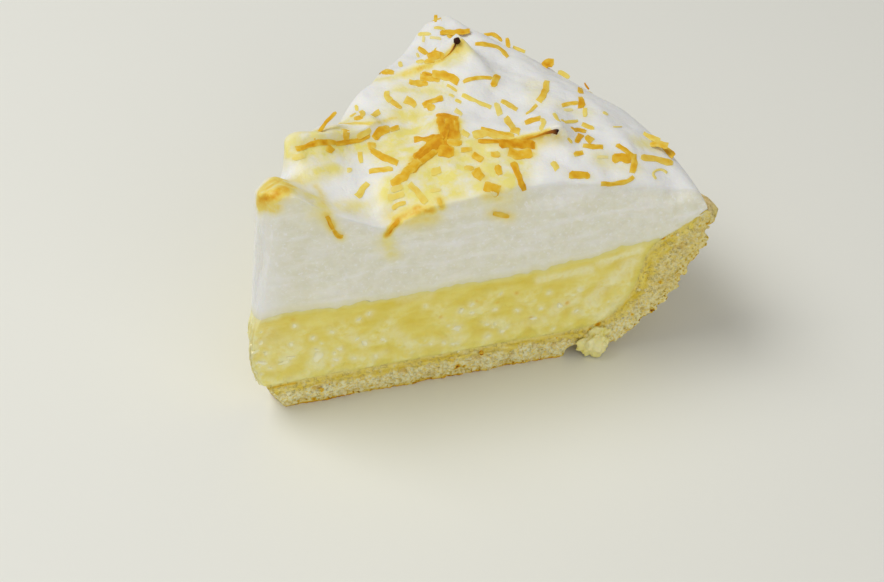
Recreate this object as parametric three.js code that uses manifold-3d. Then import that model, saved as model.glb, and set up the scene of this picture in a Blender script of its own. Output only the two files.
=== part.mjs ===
// A slice of lemon meringue pie, cut from a deep pie of about 24 cm: a short pastry crust, a
// lumpy yellow filling, and a thick meringue swept into folds and strewn with toasted coconut.
//
// Millimetres, +Z up. The slice rests on the plane z = 0 with its point towards -X and its rim
// towards +X, and the origin is on its underside. Shapes are worked out in the pie's own plan:
// x and y measured from the pie's centre, r the distance from it, and the bearing the angle
// from the slice's middle line. Bearings below zero are on the -Y side, at the near cut.

import * as THREE from "three";
import { mergeVertices } from "three/addons/utils/BufferGeometryUtils.js";
import Module from "manifold-3d";

// The whole slice
const SLICE_ANGLE = THREE.MathUtils.degToRad(52);
const PIE_CENTRE_X = -62; // where the pie's centre, the slice's point, lies
const FIT_GAP = 0.4; // between two layers

// The crust: a flat base, a curved side and a rounded rim
const BASE_RADIUS = 90.5;
const RIM_RADIUS = 119.6;
const RIM_HEIGHT = 38.8;
const RIM_CREST = 2.8; // how far the rim's rounded top stands above its two edges
const BASE_THICKNESS = 9.6;
const HOLLOW_RADIUS = 84.5; // where the inside starts to curve up
const LEDGE_RADIUS = 101.5; // where the steep inside turns out towards the rim
const LEDGE_HEIGHT = 30;
const SEAL_RADIUS = 115; // where the meringue seals against the rim
const SEAL_HEIGHT = 41.2;
const FLUTE_PITCH = 10.5;
const FLUTE_DEPTH = 0.9;

// The filling
const FILLING_HEIGHT = 32;
const FILLING_CLIMB = 3.8; // how much higher it stands against the side

// The meringue
const CROWN_HEIGHT = 58.5;
const SHOULDER_HEIGHT = 43; // its top where it meets the rim
const MERINGUE_RADIUS = 114.6;

// How far each layer's point is worn back from the pie's centre, from its underside at up = 0
// to its top at up = 1. The soft filling bulges furthest.
const crustPoint = (up) => THREE.MathUtils.lerp(7, 4.5, up);
const fillingPoint = (up) => 1.2 + 16 * (up - 0.55) ** 2;
const meringuePoint = (up) => THREE.MathUtils.lerp(6.8, 10, up);

// Grid cells along a side of each block, and up it
const CRUST_CELLS = [24, 3];
const FILLING_CELLS = [18, 7];
const MERINGUE_CELLS = [27, 5];

const wasm = await Module();
wasm.setup();

const v2 = (x, y) => new THREE.Vector2(x, y);
const smoothstep = THREE.MathUtils.smoothstep;

// Plan direction at a bearing, and the outward normals of the two cuts
const heading = (bearing) => v2(Math.cos(bearing), Math.sin(bearing));
const NEAR_SIDE = heading(-SLICE_ANGLE / 2);
const FAR_SIDE = heading(SLICE_ANGLE / 2);
const NEAR_NORMAL = v2(NEAR_SIDE.y, -NEAR_SIDE.x);
const FAR_NORMAL = v2(-FAR_SIDE.y, FAR_SIDE.x);

// Smooth lumps from crossed sine waves, from -1 to 1, each about `size` mm across
function lumps(a, b, size, phase) {
  const p = (a / size) * Math.PI;
  const q = (b / size) * Math.PI;
  return (
    0.5 * Math.sin(p + 1.7 * Math.sin(0.61 * q + phase) + phase) +
    0.5 * Math.sin(q + 1.7 * Math.sin(0.53 * p - phase) + 2.3 * phase)
  );
}

// The crust's section, as radius and height
const CRUST_OUTSIDE = new THREE.CurvePath();
CRUST_OUTSIDE.add(new THREE.LineCurve(v2(0, 0), v2(BASE_RADIUS, 0)));
CRUST_OUTSIDE.add(
  new THREE.CubicBezierCurve(
    v2(BASE_RADIUS, 0),
    v2(BASE_RADIUS + 10, 2),
    v2(RIM_RADIUS - 3, RIM_HEIGHT / 2 + 1),
    v2(RIM_RADIUS, RIM_HEIGHT),
  ),
);
const HOLLOW_BEND = new THREE.CubicBezierCurve(
  v2(HOLLOW_RADIUS, BASE_THICKNESS),
  v2(HOLLOW_RADIUS + 12, BASE_THICKNESS),
  v2(LEDGE_RADIUS - 1, LEDGE_HEIGHT - 9),
  v2(LEDGE_RADIUS, LEDGE_HEIGHT),
);
const RIM_LEDGE = new THREE.CubicBezierCurve(
  v2(LEDGE_RADIUS, LEDGE_HEIGHT),
  v2(LEDGE_RADIUS + 1, LEDGE_HEIGHT + 5),
  v2(SEAL_RADIUS - 6, SEAL_HEIGHT - 3.8),
  v2(SEAL_RADIUS, SEAL_HEIGHT),
);
const CRUST_INSIDE = new THREE.CurvePath();
CRUST_INSIDE.add(new THREE.LineCurve(v2(0, BASE_THICKNESS), v2(HOLLOW_RADIUS, BASE_THICKNESS)));
CRUST_INSIDE.add(HOLLOW_BEND);
CRUST_INSIDE.add(RIM_LEDGE);

// The point of a curve where x or y, whichever `axis` names, first reaches `value`
function pointWhere(curve, axis, value) {
  let low = 0;
  let high = 1;
  for (let i = 0; i < 30; i++) {
    const middle = (low + high) / 2;
    if (curve.getPoint(middle)[axis] < value) low = middle;
    else high = middle;
  }
  return curve.getPoint((low + high) / 2);
}

// The filling's top surface
function fillingTop(r, bearing) {
  const climb = FILLING_CLIMB * smoothstep(r, 70, LEDGE_RADIUS + 2);
  return FILLING_HEIGHT + climb + 0.45 * lumps(r, 60 * bearing, 17, 0.8);
}

// What the meringue lies on: the filling, then the rim's sloping inside
function meringueFloor(r, bearing) {
  if (r <= LEDGE_RADIUS) return fillingTop(r, bearing) + FIT_GAP;
  const ledge = pointWhere(RIM_LEDGE, "x", r).y;
  return Math.max(ledge, fillingTop(r, bearing)) + FIT_GAP;
}

// The folds a spoon left in the meringue. Each runs along its crest from one plan point to
// another and rises towards its end. It falls off slowly on one side, over `gentle` mm, and
// quickly on the other, over `steep` mm: the left side going along it, or the right.
const FOLDS = [
  { from: v2(58, 27), to: v2(89, 22), start: 1, rise: 7, gentle: 10, steep: 3.4, left: true },
  { from: v2(60, -9), to: v2(82, -21), start: 1, rise: 3.6, gentle: 13, steep: 2.6, left: false },
  { from: v2(35, -13), to: v2(66, 1.5), start: 1.4, rise: 2, gentle: 9, steep: 4, left: true },
  { from: v2(50, 12), to: v2(22, 8.5), start: 2, rise: 3.6, gentle: 8, steep: 3.6, left: true },
  { from: v2(104, 17), to: v2(97, 39), start: 0.5, rise: 2, gentle: 8, steep: 4, left: false },
  { from: v2(104, -9), to: v2(94, -32), start: 0.6, rise: 1.8, gentle: 9, steep: 5, left: true },
];

function foldHeight(fold, x, y) {
  const along = fold.to.clone().sub(fold.from);
  const length = along.length();
  along.divideScalar(length);
  const away = v2(x, y).sub(fold.from);
  const place = along.dot(away) / length;
  const share = THREE.MathUtils.clamp(place, 0, 1);
  const beyond = (place - share) * length;
  const side = along.cross(away);
  const width = side > 0 === fold.left ? fold.steep : fold.gentle;
  const fall = Math.hypot(side / width, beyond / (0.6 * fold.gentle));
  return (fold.start + (fold.rise - fold.start) * share ** 1.5) * Math.exp(-(fall ** 1.6));
}

// Broad rises and hollows: tall heaps near the slice's point, a valley beside them, and the
// lower ground along the two cuts
const SWELLS = [
  { at: v2(11, -2), rise: 9.5, spread: 9 },
  { at: v2(29, 11), rise: 6.5, spread: 9.5 },
  { at: v2(33, -16), rise: -6, spread: 7 },
  { at: v2(68, -23), rise: 1.2, spread: 12 },
  { at: v2(93, -45), rise: -3, spread: 14 },
  { at: v2(76, 37), rise: -2, spread: 10 },
];

function meringueTop(x, y) {
  const r = Math.hypot(x, y);
  const dome = Math.sqrt(Math.max(0, 1 - (r / MERINGUE_RADIUS) ** 8));
  const shoulder = smoothstep(MERINGUE_RADIUS - r, 0, 8);
  let relief = 0.5 * lumps(x, y, 13, 1.9);
  for (const swell of SWELLS) {
    const away = Math.hypot(x - swell.at.x, y - swell.at.y) / swell.spread;
    relief += swell.rise * Math.exp(-away * away);
  }
  for (const fold of FOLDS) relief += foldHeight(fold, x, y);
  return SHOULDER_HEIGHT + (CROWN_HEIGHT - SHOULDER_HEIGHT) * dome + relief * shoulder;
}

// A solid block of the slice. A finely divided box is bent to the slice's plan: its corner
// goes to the slice's point, two of its sides become the cuts and the other two the round
// edge. section(reach, bearing, up) gives the radius and height of each of its points, where
// reach goes from 0 at the point to 1 at the edge. roughness(r, z, phase) moves the cuts.
function wedgeBlock([cells, cellsUp], section, roughness) {
  const box = new THREE.BoxGeometry(1, 1, 1, cells, cells, cellsUp);
  const position = box.getAttribute("position");
  const place = new THREE.Vector3();
  for (let i = 0; i < position.count; i++) {
    place.fromBufferAttribute(position, i).addScalar(0.5);
    const reach = Math.max(place.x, place.y);
    const direction = v2(0, 0).addScaledVector(NEAR_SIDE, place.x).addScaledVector(FAR_SIDE, place.y);
    const bearing = reach > 1e-6 ? Math.atan2(direction.y, direction.x) : 0;
    const [r, z] = section(reach, bearing, place.z);
    const plan = heading(bearing).multiplyScalar(r);
    if (place.y < 1e-6) plan.addScaledVector(NEAR_NORMAL, roughness(r, z, 0));
    if (place.x < 1e-6) plan.addScaledVector(FAR_NORMAL, roughness(r, z, 2.1));
    position.setXYZ(i, plan.x, plan.y, z);
  }
  return closed(box);
}

// A radius kept back from the pie's centre near the point, and unchanged at the edge
const wornBack = (r, worn, reach) => Math.hypot(r, worn * (1 - reach));

// The same geometry with only its positions left and its shared corners merged
function closed(geometry) {
  geometry.deleteAttribute("normal");
  geometry.deleteAttribute("uv");
  return mergeVertices(geometry, 1e-4);
}

function solid(geometry) {
  return new wasm.Manifold(
    new wasm.Mesh({
      numProp: 3,
      vertProperties: new Float32Array(geometry.getAttribute("position").array),
      triVerts: new Uint32Array(geometry.index.array),
    }),
  );
}

function geometryOf(manifold) {
  const mesh = manifold.getMesh();
  return new THREE.BufferGeometry()
    .setAttribute("position", new THREE.BufferAttribute(mesh.vertProperties, 3))
    .setIndex(new THREE.BufferAttribute(mesh.triVerts, 1));
}

// A lump of a stated size on the near cut, at a distance r from the point and a height z.
// out moves its middle out of the cut.
function lumpOnCut({ r, z, out, size, grow = 0 }) {
  const ball = closed(new THREE.SphereGeometry(1, 12, 8));
  const position = ball.getAttribute("position");
  const place = new THREE.Vector3();
  for (let i = 0; i < position.count; i++) {
    place.fromBufferAttribute(position, i);
    place.multiplyScalar(1 + 0.12 * lumps(place.x + place.y, place.z, 0.6, 0.9));
    position.setXYZ(i, place.x, place.y, place.z);
  }
  ball.scale(size[0] + grow, size[1] + grow, size[2] + grow);
  ball.rotateZ(-SLICE_ANGLE / 2);
  const middle = NEAR_SIDE.clone().multiplyScalar(r).addScaledVector(NEAR_NORMAL, out);
  return ball.translate(middle.x, middle.y, z);
}

// The base broke at the near cut, where a lump of filling hangs out beside a gap
const GAP_IN_BASE = { r: 84, z: 0, out: 0, size: [3.9, 6.5, 4.4] };
const HANGING_LUMP = { r: 89, z: 7, out: 1, size: [5, 3.2, 5.8] };

// Half of the crust's cells go to its flat base and half to its side
function alongCrust(curve, flatLength, reach) {
  const flat = flatLength / curve.getLength();
  return curve.getPoint(reach < 0.5 ? 2 * reach * flat : flat + (2 * reach - 1) * (1 - flat));
}

function crustGeometry() {
  const section = (reach, bearing, up) => {
    const outside = alongCrust(CRUST_OUTSIDE, BASE_RADIUS, reach);
    const inside = alongCrust(CRUST_INSIDE, HOLLOW_RADIUS, reach);
    const point = outside.clone().lerp(inside, up);
    const flute = FLUTE_DEPTH * Math.sin((2 * Math.PI * bearing * RIM_RADIUS) / FLUTE_PITCH);
    const nearRim = smoothstep(reach, 0.8, 1) * (1 - up);
    const crest = reach > 0.999 ? RIM_CREST * Math.sin(Math.PI * up) : 0;
    const wall = smoothstep(reach, 0.55, 0.7) * (1 - up);
    const lumpy = 0.35 * lumps(RIM_RADIUS * bearing, outside.y, 7, 0.4);
    const r = wornBack(point.x, crustPoint(up), reach);
    return [r + nearRim * flute + wall * lumpy, point.y + crest + 0.6 * nearRim * flute];
  };
  const crumbly = (r, z, phase) => 0.55 * lumps(r, z, 5.3, 1.3 + phase);
  const whole = solid(wedgeBlock(CRUST_CELLS, section, crumbly));
  const gap = solid(lumpOnCut(GAP_IN_BASE));
  const room = solid(lumpOnCut({ ...HANGING_LUMP, grow: FIT_GAP }));
  return geometryOf(whole.subtract(gap).subtract(room));
}

function fillingGeometry() {
  const floor = BASE_THICKNESS + FIT_GAP;
  const section = (reach, bearing, up) => {
    const level = THREE.MathUtils.lerp(floor, LEDGE_HEIGHT, up);
    const wall = pointWhere(HOLLOW_BEND, "y", level).x - FIT_GAP;
    const r = wornBack(reach * wall, fillingPoint(up), reach);
    return [r, THREE.MathUtils.lerp(floor, fillingTop(r, bearing), up)];
  };
  const lumpy = (r, z, phase) => 0.35 + 0.8 * lumps(r, z, 6.1, 0.7 + phase);
  const whole = solid(wedgeBlock(FILLING_CELLS, section, lumpy));
  return geometryOf(whole.add(solid(lumpOnCut(HANGING_LUMP))));
}

// The meringue without its coconut
function meringueCore() {
  const section = (reach, bearing, up) => {
    const r = wornBack(reach * MERINGUE_RADIUS, meringuePoint(up), reach);
    const bottom = meringueFloor(r, bearing);
    const top = meringueTop(r * Math.cos(bearing), r * Math.sin(bearing));
    return [r, THREE.MathUtils.lerp(bottom, top, up)];
  };
  const smooth = (r, z, phase) => 0.35 * lumps(r, z, 15, 2.6 + phase);
  return wedgeBlock(MERINGUE_CELLS, section, smooth);
}

// Toasted coconut. The shreds that stand out in the middle of the slice are placed one by
// one, by plan position, length, width and direction in degrees. The rest are strewn by rule.
const SHRED_THICKNESS = 1.2;
const SHRED_SUNK = 0.6;
const PLACED_SHREDS = [
  // along the fold beside the valley
  [39, -10, 13, 3, 22],
  [45, -7, 14, 3.8, 24],
  [52, -5, 14, 4.2, 22],
  [59, -3, 12, 4.4, 16],
  [64, 0, 10, 4, 58],
  // along the fold with the near burnt tip
  [68, -13.5, 14, 3, -27],
  [76, -18, 12, 2.4, -27],
  [62, -11, 10, 2.4, -50],
  // on the two heaps at the point
  [17, -3, 10, 3.6, 8],
  [15, -1, 6, 3, 38],
  [27, 8.5, 15, 2.4, 8],
  [36, 8, 13, 2.2, 4],
  // over the middle
  [95, 18, 9, 2.4, -30],
  [97, 27, 9, 2.2, -45],
  [84, 11, 9, 2.6, -15],
  [83, 8, 8, 2.2, -47],
  [74, 17, 13, 3.4, -13],
  [84, 28, 10, 2.6, 10],
  [77, 4, 9, 2, -79],
  [68, 10, 7, 3, 4],
  [82, -3, 7, 2, 10],
  [94, -3, 11, 2, 60],
  [45, 2, 11, 2.4, 12],
  [40, -4, 6, 2.2, -25],
  // along the near cut
  [64, -25, 10, 2.2, 68],
  [76, -33, 7, 2.2, 0],
  [84, -38, 10, 2.4, -3],
  [88, -38, 7, 1.8, 88],
  [88, -24, 13, 2.2, 10],
  [99, -33, 9, 2, 15],
  [97, -40, 7, 2, 13],
];
const STREWN_SHREDS = 44;
const STREWN_HEAPS = [
  { at: v2(46, -9), spread: 16, share: 0.3 },
  { at: v2(66, -15), spread: 18, share: 0.3 },
  { at: v2(80, 13), spread: 20, share: 0.25 },
];

// A seeded draw from 0 to 1
function seededDraw(seed) {
  let state = seed;
  return () => {
    state = (state * 16807) % 2147483647;
    return state / 2147483647;
  };
}

function strewnShreds() {
  const draw = seededDraw(2027);
  const found = [];
  while (found.length < STREWN_SHREDS) {
    const pick = draw();
    const [a, b, c, d, e] = [draw(), draw(), draw(), draw(), draw()];
    let x = a * RIM_RADIUS;
    let y = (b - 0.5) * RIM_RADIUS;
    let start = 0;
    for (const heap of STREWN_HEAPS) {
      if (pick >= start && pick < start + heap.share) {
        x = heap.at.x + (2 * a - 1) * heap.spread;
        y = heap.at.y + (2 * b - 1) * heap.spread;
      }
      start += heap.share;
    }
    const r = Math.hypot(x, y);
    const fromCut = (SLICE_ANGLE / 2 - Math.abs(Math.atan2(y, x))) * r;
    const length = 2.6 + 6.5 * c * c;
    if (r > 10 && r < 105 && fromCut > 2 + length / 2) found.push([x, y, length, 1.3 + 1.1 * d, 180 * e]);
  }
  return found;
}

// A shred follows the surface under it, sunk in a little, with its far end thicker as if curled
function shredGeometry([x, y, length, width, degrees], heightAt) {
  const cells = Math.max(2, Math.round(length / 4));
  const strip = new THREE.BoxGeometry(length, width, SHRED_THICKNESS, cells, 1, 1);
  const turn = THREE.MathUtils.degToRad(degrees);
  const position = strip.getAttribute("position");
  for (let i = 0; i < position.count; i++) {
    const share = position.getX(i) / length;
    const narrowing = 1 - 0.5 * Math.abs(2 * share) ** 3;
    const local = v2(position.getX(i), position.getY(i) * narrowing + 0.12 * length * share * share);
    local.rotateAround(v2(0, 0), turn).add(v2(x, y));
    const curl = 0.07 * length * Math.max(0, share) ** 2;
    const lift = position.getZ(i) > 0 ? SHRED_THICKNESS - SHRED_SUNK + curl : -SHRED_SUNK;
    position.setXYZ(i, local.x, local.y, heightAt(local.x, local.y) + lift);
  }
  return closed(strip);
}

// Shreds that a knife dragged down onto the near cut: distance from the point, height,
// length, width and slope in degrees
const DRAGGED_SHREDS = [
  [23.5, 56.5, 8, 2, -62],
  [37.5, 51.5, 8, 2.6, 52],
  [63, 54, 5, 2.2, -15],
];

function draggedShredGeometry([r, z, length, width, degrees]) {
  const strip = new THREE.BoxGeometry(length, 1.6 * SHRED_THICKNESS, width, 2, 1, 1);
  strip.rotateY(-THREE.MathUtils.degToRad(degrees));
  strip.rotateZ(-SLICE_ANGLE / 2);
  const middle = NEAR_SIDE.clone().multiplyScalar(r);
  strip.translate(middle.x, middle.y, z);
  return closed(strip);
}

function meringueGeometry() {
  const core = meringueCore();
  core.computeBoundingSphere();
  const surface = new THREE.Mesh(core, new THREE.MeshBasicMaterial({ side: THREE.DoubleSide }));
  const ray = new THREE.Raycaster();
  const down = new THREE.Vector3(0, 0, -1);
  const heightAt = (x, y) => {
    ray.set(new THREE.Vector3(x, y, 2 * CROWN_HEIGHT), down);
    const hit = ray.intersectObject(surface)[0];
    return hit ? hit.point.z : meringueTop(x, y);
  };
  const shreds = [...PLACED_SHREDS, ...strewnShreds()].map((s) => solid(shredGeometry(s, heightAt)));
  const dragged = DRAGGED_SHREDS.map((s) => solid(draggedShredGeometry(s)));
  return geometryOf(wasm.Manifold.union([solid(core), ...shreds, ...dragged]));
}

function layer(name, geometry, color, roughness) {
  const mesh = new THREE.Mesh(
    geometry,
    new THREE.MeshStandardMaterial({ color, roughness, metalness: 0, flatShading: true }),
  );
  mesh.name = name;
  return mesh;
}

const slice = new THREE.Group();
slice.position.x = PIE_CENTRE_X;
slice.add(layer("crust", crustGeometry(), 0xd9c27e, 0.85));
slice.add(layer("filling", fillingGeometry(), 0xe3cf6a, 0.4));
slice.add(layer("meringue", meringueGeometry(), 0xf1f0ea, 0.6));

export default slice;
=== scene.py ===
# %% [markdown]
# # A slice of lemon meringue pie
#
# The real slice was cut from a deep pie: short pastry below, a lumpy lemon filling, then soft
# meringue with toasted coconut strewn over it. The frame brings measured solids of the three
# layers. They are coarse, so they could only be coloured as they are. Here each layer is
# modelled again as a fine mesh of the same form instead, and its solid is hidden.

import functools
import math
import random

import bmesh
import bpy
from mathutils import Matrix, Vector, geometry, kdtree, noise
from mathutils.bvhtree import BVHTree


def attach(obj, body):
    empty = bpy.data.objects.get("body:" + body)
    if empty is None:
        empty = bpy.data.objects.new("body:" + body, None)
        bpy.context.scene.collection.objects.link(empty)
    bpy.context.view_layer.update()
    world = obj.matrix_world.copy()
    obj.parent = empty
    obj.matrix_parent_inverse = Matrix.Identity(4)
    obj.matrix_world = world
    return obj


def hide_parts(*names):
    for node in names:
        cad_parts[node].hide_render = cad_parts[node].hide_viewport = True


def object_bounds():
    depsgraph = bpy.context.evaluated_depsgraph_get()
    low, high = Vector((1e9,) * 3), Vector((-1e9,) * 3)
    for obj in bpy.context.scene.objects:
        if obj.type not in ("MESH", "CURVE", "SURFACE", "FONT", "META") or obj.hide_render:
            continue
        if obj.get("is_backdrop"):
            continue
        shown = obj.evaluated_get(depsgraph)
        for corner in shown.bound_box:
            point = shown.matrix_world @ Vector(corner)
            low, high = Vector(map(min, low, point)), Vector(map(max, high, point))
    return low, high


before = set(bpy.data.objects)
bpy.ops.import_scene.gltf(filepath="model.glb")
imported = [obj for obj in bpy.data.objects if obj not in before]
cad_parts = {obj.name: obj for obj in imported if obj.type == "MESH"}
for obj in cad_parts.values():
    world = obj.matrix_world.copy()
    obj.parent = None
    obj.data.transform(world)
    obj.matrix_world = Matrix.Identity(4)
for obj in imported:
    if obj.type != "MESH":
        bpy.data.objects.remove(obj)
measured_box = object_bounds()
print("measured layers:", sorted(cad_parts))

# %% [markdown]
# ## The pie's own plan
#
# A baker describes a slice by how far a place is from the pie's middle, in which direction, and
# how high. So every shape here is made in millimetres from the pie's middle, and is moved and
# scaled to the scene's metres once, when it becomes a piece. The slice points towards -X, and
# its near cut is the one on the -Y side.

# %% Units and the two cuts
MM = 0.001
PIE_CENTRE_X = -62
HALF_ANGLE = math.radians(26)
TO_SCENE = Matrix.Scale(MM, 4) @ Matrix.Translation((PIE_CENTRE_X, 0, 0))
TO_PLAN = TO_SCENE.inverted()


def heading(bearing):
    """The direction in plan at a bearing from the slice's middle line."""
    return Vector((math.cos(bearing), math.sin(bearing), 0))


NEAR_CUT = heading(-HALF_ANGLE)
FAR_CUT = heading(HALF_ANGLE)
NEAR_NORMAL = heading(-HALF_ANGLE - math.pi / 2)
FAR_NORMAL = heading(HALF_ANGLE + math.pi / 2)
print("the slice spans", round(math.degrees(2 * HALF_ANGLE)), "degrees")

# %% [markdown]
# ## The camera
#
# The camera comes before the shapes, because the shreds that stand out in the photograph are
# placed by looking through it: a line of sight is followed until it meets the meringue. The
# picture is 884 by 582 pixels, and the lens and the place were found from the slice's corners.

# %% Set up the camera
PICTURE = (884, 582)
CAMERA_PLACE = Vector((-196.66, -230.28, 279.31))
CAMERA_TARGET = Vector((-13.5, -16.5, 25))

camera_data = bpy.data.cameras.new("camera")
camera_data.lens = 61.67
camera_data.sensor_width = 36
camera = bpy.data.objects.new("camera", camera_data)
camera.location = CAMERA_PLACE * MM
camera.rotation_mode = "QUATERNION"
camera.rotation_quaternion = (CAMERA_TARGET - CAMERA_PLACE).to_track_quat("-Z", "Y")
bpy.context.scene.collection.objects.link(camera)
bpy.context.scene.camera = camera

EYE = TO_PLAN @ camera.location


def line_of_sight(x, y):
    """The direction from the eye through a pixel of the picture."""
    focal = camera_data.lens / camera_data.sensor_width * PICTURE[0]
    through = Vector((x - PICTURE[0] / 2, PICTURE[1] / 2 - y, -focal))
    return (camera.rotation_quaternion @ through).normalized()


print("the eye is", round((CAMERA_PLACE - CAMERA_TARGET).length), "mm from the slice")

# %% [markdown]
# ## A block that bends to a slice
#
# A wedge could be cut from a lathe-turned pie, but a cut face made that way has no even grid to
# sculpt. So a cube is divided evenly, and its three directions become the way out from the
# pie's middle, the way round it, and the way up. Dividing edges of one direction at a time
# keeps every face a quad.

# %% Divide a cube
ALMOST_ONE = 0.999
ALMOST_NOTHING = 0.001


def runs_along(edge, axis):
    """Whether an edge runs along one axis of a cube that is still straight."""
    return abs((edge.verts[0].co - edge.verts[1].co)[axis]) > 1e-6


def divided_block(out, around, upwards):
    """A block from 0 to 1 outwards, -1 to 1 around and 0 to 1 upwards, divided into cells."""
    block = bmesh.new()
    bmesh.ops.create_cube(block, size=1)
    for axis, cells in enumerate((out, around, upwards)):
        along = [edge for edge in block.edges if runs_along(edge, axis)]
        bmesh.ops.subdivide_edges(block, edges=along, cuts=cells - 1, use_grid_fill=True)
    bmesh.ops.translate(block, vec=(0.5, 0, 0.5), verts=block.verts)
    bmesh.ops.scale(block, vec=(1, 2, 1), verts=block.verts)
    return block


def on_a_cut(co):
    """Whether a corner of the straight block lies on one of its two cut faces."""
    return abs(co.y) > ALMOST_ONE


def in_front(co):
    """Whether a corner of the straight block lies on its face towards the pie's middle."""
    return co.x < ALMOST_NOTHING


def divide_shown_faces(block, shown):
    """Halves the cells of the faces whose corners are all shown ones."""
    chosen = [edge for edge in block.edges if all(shown(vert.co) for vert in edge.verts)]
    bmesh.ops.subdivide_edges(block, edges=chosen, cuts=1, use_grid_fill=True)


# %% [markdown]
# Bending reads each corner of the grid as reach, side and up. The layer's section says how far
# out and how high that is. A knife drags the soft layers, so the cuts aren't flat: a relief
# pushes them in and out, and fades inside the slice so that the grid never folds over. The
# front of the slice is blunt, because its thin point was crushed. The relief itself is kept as a
# value, from which the materials paint shade into hollows and light onto what stands out, and so
# is a place that is stretched along the cut, for colours that a knife has dragged.

# %% Two rules for blending numbers


def smoothstep(value, low, high):
    """Rises smoothly from 0 at low to 1 at high."""
    share = min(max((value - low) / (high - low), 0), 1)
    return share * share * (3 - 2 * share)


def mix(first, second, share):
    """The value that lies at a share of the way from the first to the second."""
    return first + (second - first) * share


# %% Bend the block
RELIEF_DEPTH = 3
CUT_PHASES = ((NEAR_NORMAL, 0), (FAR_NORMAL, 2.1))
FRONT_PHASE = 4.2
FRONT_WIDTH = 50
STRETCH_ALONG = 0.2
STRETCH_AROUND = 40


def bend_to_slice(block, section, relief, nose):
    """Bends a divided block: section(reach, bearing, up) gives radius, height and blunt front."""
    up_layer = block.verts.layers.float.new("up")
    cut_layer = block.verts.layers.float.new("cut")
    depth_layer = block.verts.layers.float.new("depth")
    drag_layer = block.verts.layers.float_vector.new("drag")
    for vert in block.verts:
        reach, side, up = vert.co
        bearing = side * HALF_ANGLE
        radius, height, front = section(reach, bearing, up)
        radius *= 1 + nose * side * side * (1 - reach) ** 12
        place = heading(bearing) * radius
        push = Vector((0, 0, 0))
        depth = 0
        for normal, phase in CUT_PHASES:
            fade = max(0, 1 + place.dot(normal) / RELIEF_DEPTH)
            pushed = relief(radius, height, up, phase) * fade**2
            push += normal * pushed
            depth += pushed
        fade = max(0, 1 - (radius - front) / RELIEF_DEPTH)
        pushed = relief(FRONT_WIDTH * bearing, height, up, FRONT_PHASE) * fade**2
        push -= heading(bearing) * pushed
        vert.co = place + push + Vector((0, 0, height))
        # The relief is kept for the materials, which paint shade and light from it.
        vert[depth_layer] = depth + pushed
        vert[up_layer] = up
        vert[cut_layer] = 1.0 if abs(side) > ALMOST_ONE or reach < ALMOST_NOTHING else 0.0
        stretched = (STRETCH_ALONG * radius, STRETCH_AROUND * bearing, height)
        vert[drag_layer] = Vector(stretched) * MM


# %% Soften corners and blunt the point


def soften(shape, chosen, rounds):
    """Smooths the chosen corners of a shape, which rounds the edges that they lie on."""
    every_way = {"use_axis_x": True, "use_axis_y": True, "use_axis_z": True}
    for _ in range(rounds):
        bmesh.ops.smooth_vert(shape, verts=chosen, factor=0.5, **every_way)


def worn_back(radius, front, reach):
    """A radius kept back from the pie's middle near the point, and unchanged at the edge."""
    return math.hypot(radius, front * (1 - reach))


# %% [markdown]
# Two patterns make all the relief. Crossed sine waves give smooth, rounded lumps, and Blender's
# noise gives irregular grains. Each layer adds them up at several sizes, from rows of three
# numbers: how many millimetres they rise, how many they are across, and where they start.

# %% Two patterns for relief


def lumps(a, b, size, phase):
    """Smooth lumps from crossed sine waves, from -1 to 1, each about size mm across."""
    p = a / size * math.pi
    q = b / size * math.pi
    first = math.sin(p + 1.7 * math.sin(0.61 * q + phase) + phase)
    second = math.sin(q + 1.7 * math.sin(0.53 * p - phase) + 2.3 * phase)
    return 0.5 * first + 0.5 * second


def grit(a, b, size, seed):
    """Irregular grains from Blender's noise, from -1 to 1, each about size mm across."""
    return noise.noise(Vector((a / size, b / size, 7.3 * seed)))


def added_up(pattern, a, b, rows, phase=0):
    """The sum of a pattern at several sizes. Each row: rise, size and start."""
    return sum(rise * pattern(a, b, size, start + phase) for rise, size, start in rows)


# %% [markdown]
# ## Making a piece
#
# Every shape ends the same way: it goes from plan millimetres to the scene, its faces are
# turned outwards, and it rides on the slice's one body. The object itself stays at the origin.
# Shading is smooth, but edges that turn by more than the crisp angle stay crisp.

# %% Turn a shape into a piece


def make_piece(name, shape, stands_for=None, crisp=60):
    """Makes a shape a piece of the slice, and hides the measured solid that it stands for."""
    bmesh.ops.transform(shape, matrix=TO_SCENE, verts=shape.verts)
    bmesh.ops.recalc_face_normals(shape, faces=shape.faces)
    mesh = bpy.data.meshes.new(name)
    shape.to_mesh(mesh)
    shape.free()
    mesh.shade_smooth()
    mesh.set_sharp_from_angle(angle=math.radians(crisp))
    piece = bpy.data.objects.new(name, mesh)
    bpy.context.scene.collection.objects.link(piece)
    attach(piece, "root")
    if stands_for:
        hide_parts(stands_for)
    mesh.calc_loop_triangles()
    print(name, "has", len(mesh.loop_triangles), "triangles")
    return piece


# %% [markdown]
# ## The crust
#
# Short pastry is pressed into a deep dish: a flat base, a side that curves up, and a rim that
# the meringue is sealed to. Its section is two lines, the outside and the inside. Each is a
# straight base and curves with handles, and a point on one is found by its share of the length.

# %% Draw the crust's section
BASE_RADIUS = 90.5
RIM_RADIUS = 119.6
RIM_HEIGHT = 38.8
RIM_CREST = 2.8
BASE_THICKNESS = 9.6
HOLLOW_RADIUS = 84.5
LEDGE_RADIUS = 101.5
LEDGE_HEIGHT = 30
SEAL_RADIUS = 115
SEAL_HEIGHT = 41.2


def curve(*corners):
    """Points on a curve from the first corner to the last, drawn towards the two between."""
    return geometry.interpolate_bezier(*[Vector(corner) for corner in corners], 60)


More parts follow.
